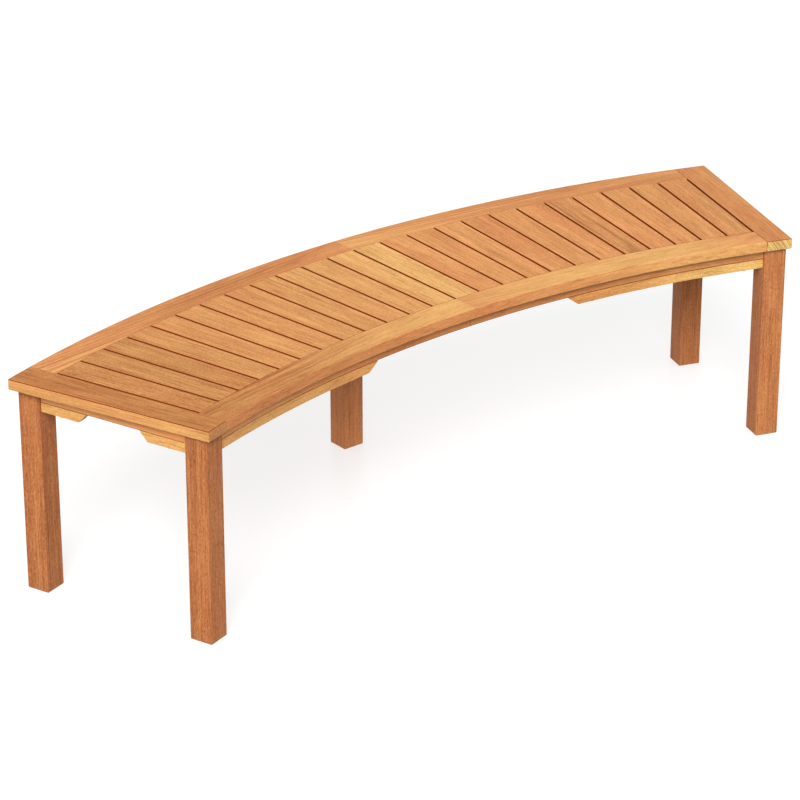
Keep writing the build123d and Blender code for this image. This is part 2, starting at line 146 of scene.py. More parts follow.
@dataclass(frozen=True)
class SeatPlan:
    """Driving sizes of the bench, in metres and radians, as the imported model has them."""

    inner_radius: float = 2.182
    seat_depth: float = 0.457
    slats_per_half: int = 12
    pitch: float = math.radians(1.545)
    end_sweep: float = math.radians(1.56)
    slat_gap: float = 0.005
    rail_width: float = 0.062
    seat_height: float = 0.450
    board_thickness: float = 0.022
    apron_height: float = 0.022
    cleat_height: float = 0.020
    leg_size: float = 0.050
    inner_leg_inset: float = 0.010
    outer_leg_inset: float = 0.008
    centre_leg_inset: float = 0.013
    apron_thickness: float = 0.020
    apron_recess: float = 0.005
    joint_hairline: float = 0.0005

    @property
    def outer_radius(self) -> float:
        """Radius of the convex edge."""
        return self.inner_radius + self.seat_depth

    @property
    def half_field(self) -> float:
        """Angle from the middle to the last gap."""
        return self.slats_per_half * self.pitch

    @property
    def half_sweep(self) -> float:
        """Angle from the middle to the end of the bench."""
        return self.half_field + self.end_sweep

    @property
    def centre_y(self) -> float:
        """Place of the arcs' centre, so that the bench's box is centred."""
        return -(self.outer_radius + self.inner_radius * math.cos(self.half_sweep)) / 2

    @property
    def end_edge(self) -> float:
        """Distance from the last gap's middle to the end board."""
        return self.slat_gap / 2

    @property
    def seat_underside(self) -> float:
        """Height of the boards' undersides."""
        return self.seat_height - self.board_thickness

    @property
    def apron_underside(self) -> float:
        """Height of the aprons' undersides."""
        return self.seat_underside - self.apron_height

    @property
    def cleat_underside(self) -> float:
        """Height of the cleats' undersides."""
        return self.apron_underside - self.cleat_height

    @property
    def inner_leg_start(self) -> float:
        """Radius of the inner legs' concave face."""
        return self.inner_radius + self.inner_leg_inset

    @property
    def outer_leg_start(self) -> float:
        """Radius of the outer corner legs' concave face."""
        return self.outer_radius - self.outer_leg_inset - self.leg_size

    @property
    def centre_leg_start(self) -> float:
        """Radius of the centre leg's concave face."""
        return self.outer_radius - self.centre_leg_inset - self.leg_size

    @property
    def inner_apron_middle(self) -> float:
        """Radius of the inner aprons' middle line."""
        return self.inner_leg_start + self.apron_recess + self.apron_thickness / 2

    @property
    def outer_apron_middle(self) -> float:
        """Radius of the outer aprons' middle line."""
        return self.outer_leg_start + self.leg_size - self.apron_recess - self.apron_thickness / 2

    @property
    def end_apron_middle(self) -> float:
        """Distance of the end aprons' middle line beyond the last gap's middle."""
        return self.end_edge + self.leg_size - self.apron_recess - self.apron_thickness / 2

    def slat_width(self, radius: float) -> float:
        """Width of a slat at a radius."""
        half_pitch = self.pitch / 2
        return 2 * radius * math.tan(half_pitch) - self.slat_gap / math.cos(half_pitch)

    def end_angle(self, radius: float) -> float:
        """Angle where an arc meets the end board."""
        return self.half_field + math.asin(self.end_edge / radius)

    def along(self, angle: float) -> Vector:
        """Direction along the seat at an angle."""
        return Vector((math.cos(angle), -math.sin(angle), 0.0))

    def outward(self, angle: float) -> Vector:
        """Direction from the concave to the convex side at an angle."""
        return Vector((math.sin(angle), math.cos(angle), 0.0))

    def point(self, radius: float, angle: float, height: float = 0.0) -> Vector:
        """Place at a radius, an angle and a height."""
        return self.outward(angle) * radius + Vector((0.0, self.centre_y, height))

    def end_point(self, hand: Hand, offset: float, radius: float, height: float = 0.0) -> Vector:
        """Place at an offset beyond the last gap's middle, square to that gap, and at a radius along it."""
        angle = hand.value * self.half_field
        return self.point(radius, angle, height) + self.along(angle) * offset * hand.value


@dataclass(frozen=True)
class Look:
    """How the wood of one board, or of its sides, looks.

    Attributes:
        tone: Lightness at even steps along the board, about -1 to 1.
        warmth: From -1, yellow, to 1, red, at even steps along the board.
        streak: Strength of dark streaks, from 0 to 1.
        rings: Share of the finish's growth rings, at even steps along the board.
        soaked: Share of the painted shade, a dark colour that stands in for the shade in the gaps between
            boards and along some eased edges.
    """

    tone: tuple[float, ...] = (0.0,)
    warmth: tuple[float, ...] = (0.0,)
    streak: float = 0.0
    rings: tuple[float, ...] = (1.0,)
    soaked: float = 0.0

    @classmethod
    def turning(cls, tone: float, warmth: float, change: float, **rest: object) -> "Look":
        """Look of a board that grows lighter and yellower along its length by a change."""
        return cls((tone - change, tone + change), (warmth + change, warmth - change), **rest)

    def along(self, share: np.ndarray) -> np.ndarray:
        """Give the look at places along the board.

        Args:
            share: Places from 0 at the board's first end to 1 at its last.

        Returns:
            Tone, warmth, streak, rings and painted shade, one row for each place.
        """
        runs = (self.tone, self.warmth, (self.streak,), self.rings, (self.soaked,))
        values = [np.interp(share, np.linspace(0.0, 1.0, len(run)), run) for run in runs]
        return np.stack(values, axis=1)


# The fifth column is the share of painted shade, a dark colour standing in for the shade in gaps and along
# eased edges.
LOOK_COLUMNS = 5  # of the rows that Look.along gives: tone, warmth, streak, rings and soaked
RINGS_COLUMN = 3
PAINTED_SHADE_COLUMN = 4


@dataclass(frozen=True)
class BoardGrain:
    """How the grain lies in one board, and how that board looks.

    Attributes:
        origin: A point of the board.
        along: Direction of the grain.
        up: Direction of the board's thickness.
        sawing: Way the board was cut.
        look: Look of the board.
        sides: Looks of its right and left sides, seen along the grain, where they differ.
        ends: Look of its cut ends, where that differs.
        arris_shade: Shares of painted shade on its lower and upper eased edges, dark lines that stand in for
            the shade along them.
        cut_lean: A face is a cut end if its normal lies along the grain by more than this share.
        eased_rise: A face is an eased edge if its normal rises or falls by between these shares.
    """

    origin: Vector
    along: Vector
    up: Vector
    sawing: Sawing
    look: Look
    sides: tuple[Look, Look] | None = None
    ends: Look | None = None
    arris_shade: tuple[float, float] = (0.0, 0.0)
    cut_lean: float = 0.75
    eased_rise: tuple[float, float] = (0.15, 0.98)

    @property
    def across(self) -> Vector:
        """Direction across the grain, to the left."""
        return self.up.cross(self.along)

    @property
    def axes(self) -> np.ndarray:
        """Rows along the grain, across it and through the thickness."""
        return np.array([self.along, self.across, self.up], float)

    def face_looks(self, centres: np.ndarray, normals: np.ndarray) -> tuple[np.ndarray, np.ndarray]:
        """Work out how each face of the board looks.

        Args:
            centres: Middles of the faces.
            normals: Normals of the faces.

        Returns:
            One row of Look.along for each face, and whether it is a cut end.
        """
        run = centres @ np.array(self.along)
        share = (run - run.min()) / (run.max() - run.min())
        leftward = (normals @ np.array(self.across))[:, None]
        right_side, left_side = self.sides or (self.look, self.look)
        looks = self.look.along(share) * (1.0 - np.abs(leftward))
        looks += right_side.along(share) * np.maximum(-leftward, 0.0)
        looks += left_side.along(share) * np.maximum(leftward, 0.0)
        cut = np.abs(normals @ np.array(self.along)) > self.cut_lean
        looks[cut] = (self.ends or self.look).along(share[cut])
        rise = normals @ np.array(self.up)
        least, most = self.eased_rise
        eased = (np.abs(rise) > least) & (np.abs(rise) < most) & ~cut
        # Eased edges get painted shade: dark lines standing in for the shade along joints, gaps and edges.
        eased_shade = np.where(rise < 0.0, *self.arris_shade) * eased
        looks[:, PAINTED_SHADE_COLUMN] = np.maximum(looks[:, PAINTED_SHADE_COLUMN], eased_shade)
        return looks, cut


@dataclass(frozen=True, eq=False)
class Wire:
    """Output of a node, on which arithmetic adds Math nodes."""

    graph: "Graph"
    socket: bpy.types.NodeSocket

    def math(self, operation: str, other: "Value" = 0.0, clamp: bool = False) -> "Wire":
        """Work out a number from this one and, for some operations, another one."""
        return self.graph.math(operation, self, other, clamp)

    def __add__(self, other: "Value") -> "Wire":
        """Add a number."""
        return self.math("ADD", other)

    def __sub__(self, other: "Value") -> "Wire":
        """Take away a number."""
        return self.math("SUBTRACT", other)

    def __rsub__(self, other: "Value") -> "Wire":
        """Take this number away from another one."""
        return self.graph.math("SUBTRACT", other, self)

    def __mul__(self, other: "Value") -> "Wire":
        """Multiply by a number."""
        return self.math("MULTIPLY", other)

    def __truediv__(self, other: "Value") -> "Wire":
        """Divide by a number."""
        return self.math("DIVIDE", other)

    def __abs__(self) -> "Wire":
        """Drop the sign."""
        return self.math("ABSOLUTE")


Value = float | int | str | tuple | Wire
Feeds = dict[str | int, Value]


def of_type(sockets: bpy.types.bpy_prop_collection, kind: str) -> list[bpy.types.NodeSocket]:
    """Pick a node's sockets of one type, since some nodes have several of the same name."""
    return [socket for socket in sockets if socket.type == kind]


@dataclass(frozen=True, eq=False)
class Graph:
    """Adds nodes to a node tree and joins them."""

    tree: bpy.types.NodeTree

    def socket(self, name: str, kind: SocketKind, output: bool = False) -> None:
        """Give the tree a named input or output."""
        way = "OUTPUT" if output else "INPUT"
        self.tree.interface.new_socket(name=name, in_out=way, socket_type=kind.value)

    def inputs(self) -> dict[str, Wire]:
        """Add the node of the tree's inputs, and give them by name."""
        return self.outputs_of(self.add("NodeGroupInput"))

    def outputs_of(self, node: bpy.types.Node) -> dict[str, Wire]:
        """Give a node's outputs by name."""
        return {socket.name: Wire(self, socket) for socket in node.outputs}

    def feed(self, socket: bpy.types.NodeSocket, value: Value) -> None:
        """Join a socket to a wire, or set its value.

        Args:
            socket: Input of a node.
            value: Wire or value.
        """
        if isinstance(value, Wire):
            self.tree.links.new(value.socket, socket)
        else:
            socket.default_value = value

    def fill(self, node: bpy.types.Node, feeds: Feeds) -> None:
        """Feed several inputs of a node, by name or number."""
        for key, value in feeds.items():
            self.feed(node.inputs[key], value)

    def add(self, kind: str, feeds: Feeds | None = None, **settings: object) -> bpy.types.Node:
        """Add a node.

        Args:
            kind: Blender's name of the node's type.
            feeds: Values or wires for its inputs, by name or number.
            settings: Properties of the node itself.

        Returns:
            The new node.
        """
        node = self.tree.nodes.new(kind)
        for name, value in settings.items():
            setattr(node, name, value)
        self.fill(node, feeds or {})
        return node

    def wire(self, kind: str, feeds: Feeds | None = None, output: str | int = 0, **settings: object) -> Wire:
        """Add a node and take one of its outputs, by name or number."""
        return Wire(self, self.add(kind, feeds, **settings).outputs[output])

    def math(self, operation: str, first: Value, second: Value = 0.0, clamp: bool = False) -> Wire:
        """Work out a number from one or two numbers, and keep it between 0 and 1 if clamp is set."""
        return self.wire("ShaderNodeMath", {0: first, 1: second}, operation=operation, use_clamp=clamp)

    def vector(self, operation: str, first: Value, second: Value) -> Wire:
        """Work out a vector from two vectors."""
        return self.wire("ShaderNodeVectorMath", {0: first, 1: second}, operation=operation)

    def scaled(self, vector: Value, factor: Value) -> Wire:
        """Scale a vector or a colour by a number."""
        return self.wire("ShaderNodeVectorMath", {0: vector, 3: factor}, operation="SCALE")

    def parts(self, vector: Value) -> list[Wire]:
        """Split a vector into its three numbers."""
        return [Wire(self, socket) for socket in self.add("ShaderNodeSeparateXYZ", {0: vector}).outputs]

    def position(self) -> list[Wire]:
        """Split the places of a geometry's points into their three numbers."""
        return self.parts(self.wire("GeometryNodeInputPosition"))

    def joined(self, x: Value, y: Value, z: Value) -> Wire:
        """Make a vector of three numbers."""
        return self.wire("ShaderNodeCombineXYZ", {0: x, 1: y, 2: z})

    def smooth(self, value: Value, low: float, high: float) -> Wire:
        """Rise softly from 0 at low to 1 at high."""
        feeds = {"Value": value, "From Min": low, "From Max": high}
        return self.wire("ShaderNodeMapRange", feeds, interpolation_type="SMOOTHSTEP")

    def blended(self, share: Value, first: Value, second: Value) -> Wire:
        """Blend two colours.

        Args:
            share: Share of the second colour, from 0 to 1.
            first: First colour.
            second: Second colour.

        Returns:
            The blend.
        """
        node = self.add("ShaderNodeMix", {"Factor": share}, data_type="RGBA")
        for socket, colour in zip(of_type(node.inputs, "RGBA"), (first, second)):
            self.feed(socket, colour)
        return Wire(self, of_type(node.outputs, "RGBA")[0])

    def chosen(self, value: Wire, below: Wire, above: Wire) -> Wire:
        """Pick one number where a value is below zero, and another where it is above."""
        return above + value.math("LESS_THAN") * (below - above)


@dataclass
class ShapeTrees:
    """Geometry node trees that make the bench's boards, bars and fasteners.

    Attributes:
        side_points: Points across each side of a board's section, so each eased corner has three facets.
        end_steps: Steps of an eased end.
        least_corner: Smallest radius of an eased corner.
        shank_sides: Sides of a shank.
        shank_share: Radius of a shank as a share of its diameter, just under a half.
        shank_sunk: How far a shank begins inside its head.
        dome_sides: Sides of a bolt's head.
        dome_steps: Steps of its rounded rim.
        washer_points: Points round a washer and round its section.
        washer_power: Power of the section's waves, small for a nearly square section.
        washer_seam: Distance at which the ring's first and last points are joined.
        cone_sides: Sides of a screw's head.
        recess_share: Length of a screw's recess as a share of its head.
    """

    side_points: int = 8
    end_steps: int = 3
    least_corner: float = 0.05 * MM
    shank_sides: int = 16
    shank_share: float = 0.49
    shank_sunk: float = 0.5 * MM
    dome_sides: int = 32
    dome_steps: int = 5
    washer_points: tuple[int, int] = (33, 17)
    washer_power: float = 0.3
    washer_seam: float = 0.02 * MM
    cone_sides: int = 24
    recess_share: float = 0.55

    def __post_init__(self) -> None:
        """Make every tree once."""
        self.block = self._eased_block()
        self.wedge = self._wedge_boards()
        self.arc = self._arc_bar()
        self.bar = self._straight_bar()
        self.bolt = self._socket_bolts()
        self.washer = self._washers()
        self.screw = self._countersunk_screws()

    @staticmethod
    def _start(name: str, sizes: Sequence[str], rings: bool = False) -> tuple[Graph, dict[str, Wire]]:
        """Start a tree.

        Args:
            name: Name of the tree.
            sizes: Names of its size inputs.
            rings: Whether it has an input for the number of rings along a board.

        Returns:
            The tree's graph and its inputs.
        """
        graph = Graph(bpy.data.node_groups.new(name, "GeometryNodeTree"))
        graph.socket("Geometry", SocketKind.GEOMETRY)
        for size in sizes:
            graph.socket(size, SocketKind.FLOAT)
        if rings:
            graph.socket("Rings", SocketKind.INTEGER)
        graph.socket("Finish", SocketKind.MATERIAL)
        graph.socket("Geometry", SocketKind.GEOMETRY, output=True)
        return graph, graph.inputs()

    @staticmethod
    def _end(graph: Graph, geometry: Wire, finish: Wire) -> bpy.types.GeometryNodeTree:
        """Close a tree with real, smooth geometry in its finish.

        Args:
            graph: The tree's graph.
            geometry: Geometry to put out.
            finish: Material to set.

        Returns:
            The finished tree.
        """
        real = graph.wire("GeometryNodeRealizeInstances", {0: geometry})
        smooth = graph.wire("GeometryNodeSetShadeSmooth", {"Geometry": real})
        dressed = graph.wire("GeometryNodeSetMaterial", {"Geometry": smooth, "Material": finish})
        graph.add("NodeGroupOutput", {0: dressed})
        return graph.tree

    @staticmethod
    def _moved(graph: Graph, geometry: Wire, position: Wire) -> Wire:
        """Set the places of a geometry's points."""
        return graph.wire("GeometryNodeSetPosition", {"Geometry": geometry, "Position": position})

    @staticmethod
    def _lifted(graph: Graph, geometry: Wire, height: Wire) -> Wire:
        """Lift a geometry by a height."""
        feeds = {"Geometry": geometry, "Translation": graph.joined(0.0, 0.0, height)}
        return graph.wire("GeometryNodeTransform", feeds)

    @staticmethod
    def _solid(graph: Graph, operation: str, shapes: Sequence[Wire], body: Wire | None = None) -> Wire:
        """Unite closed shapes, or cut them from a body.

        Args:
            graph: The tree's graph.
            operation: Blender's name of the operation.
            shapes: Shapes to unite or to cut with.
            body: Shape to cut, if any.

        Returns:
            One closed shell.
        """
        node = graph.add("GeometryNodeMeshBoolean", operation=operation, solver="EXACT")
        if body is not None:
            graph.feed(node.inputs["Mesh 1"], body)
        for shape in shapes:
            graph.feed(node.inputs["Mesh 2"], shape)
        return Wire(graph, node.outputs["Mesh"])

    def _eased_block(self) -> bpy.types.GeometryNodeTree:
        """Make the tree of a block that lies along +Y on z = 0, with its own easing on each side and end.

        Returns:
            The finished tree.
        """
        graph, size = self._start("eased_block", BLOCK_SIZES, rings=True)
        counts = {"Vertices X": self.side_points, "Vertices Y": size["Rings"], "Vertices Z": self.side_points}
        cube = graph.wire("GeometryNodeMeshCube", {"Size": (2.0, 2.0, 2.0), **counts}, "Mesh")
        x, y, z = graph.position()
        side_ease = graph.chosen(x, size["Left Ease"], size["Right Ease"])
        end_ease = graph.chosen(y, size["Start Ease"], size["End Ease"])
        widest = size["Left Ease"].math("MAXIMUM", size["Right Ease"])

        # Rings next to an end turn through a quarter circle, and the rest share the straight run.
        spans = size["Rings"] - 1.0
        reach = abs(y)
        from_end = (1.0 - reach) * (spans / 2.0)
        turn = graph.math("SUBTRACT", 1.0, from_end / self.end_steps, clamp=True) * QUARTER_TURN
        inset = end_ease * (1.0 - turn.math("COSINE"))
        straight_spans = spans - 2.0 * self.end_steps
        run = (reach * (spans / straight_spans)).math("MINIMUM", 1.0)
        half_length = size["Length"] / 2.0
        straight = run * (half_length - end_ease)
        rounded = end_ease * turn.math("SINE")
        new_y = half_length + y.math("SIGN") * (straight + rounded)

        # Corners of the section turn through a quarter circle of the side's own easing.
        side_inset = inset * (side_ease / widest)
        corner = (side_ease * (1.0 - inset / widest)).math("MAXIMUM", self.least_corner)
        per_step = self.side_points - 1.0
        a, b = ((abs(part) * per_step - 1.0) / (per_step - 1.0) for part in (x, z))
        length = (a * a + b * b).math("SQRT") + TINY
        onto_arc = a.math("MAXIMUM", b) / length
        placed = []
        for part, step, full, cut in ((x, a, "Width", side_inset), (z, b, "Height", inset)):
            core = size[full] / 2.0 - cut - corner
            placed.append(part.math("SIGN") * (core + corner * (step * onto_arc)))
        new_x, new_z = placed
        place = graph.joined(new_x, new_y, new_z + size["Height"] / 2.0)
        graph.add("NodeGroupOutput", {0: self._moved(graph, cube, place)})
        return graph.tree

    def _block(self, graph: Graph, feeds: Feeds) -> tuple[Wire, list[Wire]]:
        """Place an eased block in a tree, and give it with the three parts of its points' places."""
        return graph.wire("GeometryNodeGroup", feeds, node_tree=self.block), graph.position()

    def _wedge_boards(self) -> bpy.types.GeometryNodeTree:
        """Make the tree of wedge boards that fan out round the arcs' centre, one for each base point.

        Returns:
            The finished tree.
        """
        plan = ("Inner Radius", "Outer Radius", "Inner Width", "Outer Width", "Height", "Base", "Side Shift")
        eases = ("Left Ease", "Right Ease", "End Ease")
        graph, size = self._start("wedge_boards", plan + eases, rings=True)
        length = size["Outer Radius"] - size["Inner Radius"]
        feeds = {name: size[name] for name in ("Height", *eases, "Rings")}
        feeds.update({"Width": size["Inner Width"], "Length": length, "Start Ease": size["End Ease"]})
        mesh, (x, y, z) = self._block(graph, feeds)
        flare = size["Outer Width"] - size["Inner Width"]
        growth = (flare / length) * (y / 2.0)
        spread = x + x.math("SIGN") * growth
        radius = size["Inner Radius"] + y
        angle = (spread + size["Side Shift"]) / radius
        place = graph.joined(radius * angle.math("SINE"), radius * angle.math("COSINE"), z + size["Base"])
        board = self._moved(graph, mesh, place)
        fan = graph.wire("GeometryNodeInputNamedAttribute", {"Name": "angle"}, data_type="FLOAT")
        turned = graph.joined(0.0, 0.0, fan * -1.0)
        feeds = {"Points": size["Geometry"], "Instance": board, "Rotation": turned}
        return self._end(graph, graph.wire("GeometryNodeInstanceOnPoints", feeds), size["Finish"])

    @staticmethod
    def _sloped(size: dict[str, Wire], y: Wire, z: Wire, length: Wire) -> Wire:
        """Shorten a bar towards its underside, by the slope of each end.

        Args:
            size: The tree's inputs.
            y: Place along the bar.
            z: Height in the bar.
            length: The bar's length.

        Returns:
            The new place along the bar.
        """
        depth = 1.0 - z / size["Height"]
        both = (size["Start Slope"] + size["End Slope"]) * depth
        return size["Start Slope"] * depth + y * (1.0 - both / length)

    def _arc_bar(self) -> bpy.types.GeometryNodeTree:
        """Make the tree of a bar that follows an arc about the seat's centre.

        Returns:
            The finished tree.
        """
        plan = ("Centre Y", "Middle Radius", "Start Angle", "End Angle", "Width", "Height", "Base")
        ends = ("Concave Ease", "Convex Ease", "Start Ease", "End Ease", "Start Slope", "End Slope")
        graph, size = self._start("arc_bar", plan + ends, rings=True)
        middle = size["Middle Radius"]
        length = middle * (size["End Angle"] - size["Start Angle"])
        feeds = {name: size[name] for name in ("Width", "Height", "Start Ease", "End Ease", "Rings")}
        feeds.update({"Length": length, "Left Ease": size["Convex Ease"], "Right Ease": size["Concave Ease"]})
        mesh, (x, y, z) = self._block(graph, feeds)
        angle = size["Start Angle"] + self._sloped(size, y, z, length) / middle
        radius = middle - x
        new_y = radius * angle.math("COSINE") + size["Centre Y"]
        place = graph.joined(radius * angle.math("SINE"), new_y, z + size["Base"])
        return self._end(graph, self._moved(graph, mesh, place), size["Finish"])

    def _straight_bar(self) -> bpy.types.GeometryNodeTree:
        """Make the tree of a straight bar or post, turned and placed.

        Returns:
            The finished tree.
        """
        placing = ("Start Slope", "End Slope", "Tilt", "Turn", "Place X", "Place Y", "Place Z")
        graph, size = self._start("straight_bar", BLOCK_SIZES + placing, rings=True)
        mesh, (x, y, z) = self._block(graph, {name: size[name] for name in (*BLOCK_SIZES, "Rings")})
        along = self._sloped(size, y, z, size["Length"])
        feeds = {
            "Geometry": self._moved(graph, mesh, graph.joined(x, along, z)),
            "Rotation": graph.joined(size["Tilt"], 0.0, size["Turn"]),
            "Translation": graph.joined(size["Place X"], size["Place Y"], size["Place Z"]),
        }
        return self._end(graph, graph.wire("GeometryNodeTransform", feeds), size["Finish"])

    @staticmethod
    def _scattered(graph: Graph, points: Wire, fastener: Wire, seed: int) -> Wire:
        """Put a fastener on each base point, each turned its own way.

        Args:
            graph: The tree's graph.
            points: Base points.
            fastener: Geometry of one fastener.
            seed: Seed of the turns.

        Returns:
            The instances.
        """
        turn = graph.add("FunctionNodeRandomValue", {"Seed": seed}, data_type="FLOAT")
        _, most, *_ = of_type(turn.inputs, "VALUE")
        graph.feed(most, math.tau)
        spun = Wire(graph, of_type(turn.outputs, "VALUE")[0])
        feeds = {"Points": points, "Instance": fastener, "Rotation": graph.joined(0.0, 0.0, spun)}
        return graph.wire("GeometryNodeInstanceOnPoints", feeds)

    def _with_shank(self, graph: Graph, size: dict[str, Wire], head: Wire, base: Value) -> Wire:
        """Fuse a fastener's head with its shank.

        Args:
            graph: The tree's graph.
            size: The tree's inputs.
            head: Geometry of the head.
            base: Height where the head ends and the shank begins.

        Returns:
            The fastener, as one closed shell.
        """
        feeds = {
            "Vertices": self.shank_sides,
            "Radius": size["Shank Diameter"] * self.shank_share,
            "Depth": size["Shank Length"] + self.shank_sunk,
        }
        shank = graph.wire("GeometryNodeMeshCylinder", feeds, "Mesh")
        middle = (size["Shank Length"] - self.shank_sunk) / 2.0 + base
        return self._solid(graph, "UNION", [head, self._lifted(graph, shank, middle)])

    def _socket_bolts(self) -> bpy.types.GeometryNodeTree:
        """Make the tree of upright dome-head socket bolts, whose heads hang below their base points.

        Returns:
            The finished tree.
        """
        head_sizes = ("Head Diameter", "Head Height", "Rim Ease", "Socket Across Flats", "Socket Depth")
        graph, size = self._start("socket_bolts", (*head_sizes, "Shank Diameter", "Shank Length"))
        ease = size["Rim Ease"]
        height = size["Head Height"]
        radius = size["Head Diameter"] / 2.0
        steps = self.dome_steps + 1
        counts = {"Vertices": self.dome_sides, "Side Segments": steps}
        head = graph.wire("GeometryNodeMeshCylinder", {**counts, "Radius": radius, "Depth": height}, "Mesh")
        x, y, z = graph.position()
        level = (0.5 - z / height) * steps
        turn = (level - 1.0).math("DIVIDE", self.dome_steps, clamp=True) * QUARTER_TURN
        inset = ease * (1.0 - turn.math("COSINE"))
        narrowed = 1.0 - inset / radius
        upright = (height - ease) * level.math("MINIMUM", 1.0)
        rounded = ease * turn.math("SINE")
        place = graph.joined(x * narrowed, y * narrowed, (upright + rounded) * -1.0)
        dome = self._moved(graph, head, place)
        feeds = {
            "Vertices": 6,
            "Radius": size["Socket Across Flats"] / math.sqrt(3.0),
            "Depth": size["Socket Depth"] * 2.0,
        }
        socket = self._lifted(graph, graph.wire("GeometryNodeMeshCylinder", feeds, "Mesh"), height * -1.0)
        cut = self._solid(graph, "DIFFERENCE", [socket], dome)
        bolt = self._with_shank(graph, size, cut, 0.0)
        return self._end(graph, self._scattered(graph, size["Geometry"], bolt, seed=3), size["Finish"])

    def _washers(self) -> bpy.types.GeometryNodeTree:
        """Make the tree of flat washers with soft edges, which lie on their base points.

        Returns:
            The finished tree.
        """
        graph, size = self._start("washers", ("Outside Diameter", "Hole Diameter", "Thickness"))
        outside, hole = size["Outside Diameter"], size["Hole Diameter"]
        round_points, section_points = self.washer_points
        counts = {"Vertices X": round_points, "Vertices Y": section_points}
        grid = graph.wire("GeometryNodeMeshGrid", {"Size X": math.tau, "Size Y": math.tau, **counts}, "Mesh")
        around, section, _ = graph.position()
        swings = []
        for wave in ("COSINE", "SINE"):
            swing = section.math(wave)
            swings.append(swing.math("SIGN") * abs(swing).math("POWER", self.washer_power))
        radius = (outside + hole) / 4.0 + ((outside - hole) / 4.0) * swings[0]
        half = size["Thickness"] / 2.0
        level = half + half * swings[1]
        place = graph.joined(radius * around.math("COSINE"), radius * around.math("SINE"), level)
        feeds = {"Geometry": self._moved(graph, grid, place), "Distance": self.washer_seam}
        washer = graph.wire("GeometryNodeMergeByDistance", feeds)
        return self._end(graph, self._scattered(graph, size["Geometry"], washer, seed=5), size["Finish"])

    def _countersunk_screws(self) -> bpy.types.GeometryNodeTree:
        """Make the tree of upright countersunk screws, whose crossed recess faces down.

        Returns:
            The finished tree.
        """
        head_sizes = ("Head Diameter", "Head Height", "Recess Width", "Recess Depth")
        graph, size = self._start("countersunk_screws", (*head_sizes, "Shank Diameter", "Shank Length"))
        feeds = {
            "Vertices": self.cone_sides,
            "Radius Top": size["Shank Diameter"] / 2.0,
            "Radius Bottom": size["Head Diameter"] / 2.0,
            "Depth": size["Head Height"],
        }
        head = graph.wire("GeometryNodeMeshCone", feeds, "Mesh")
        long, short = size["Head Diameter"] * self.recess_share, size["Recess Width"]
        deep = size["Recess Depth"] * 2.0
        slots = [
            graph.wire("GeometryNodeMeshCube", {"Size": graph.joined(length, width, deep)}, "Mesh")
            for length, width in ((long, short), (short, long))
        ]
        cut = self._solid(graph, "DIFFERENCE", slots, head)
        screw = self._with_shank(graph, size, cut, size["Head Height"])
        return self._end(graph, self._scattered(graph, size["Geometry"], screw, seed=7), size["Finish"])


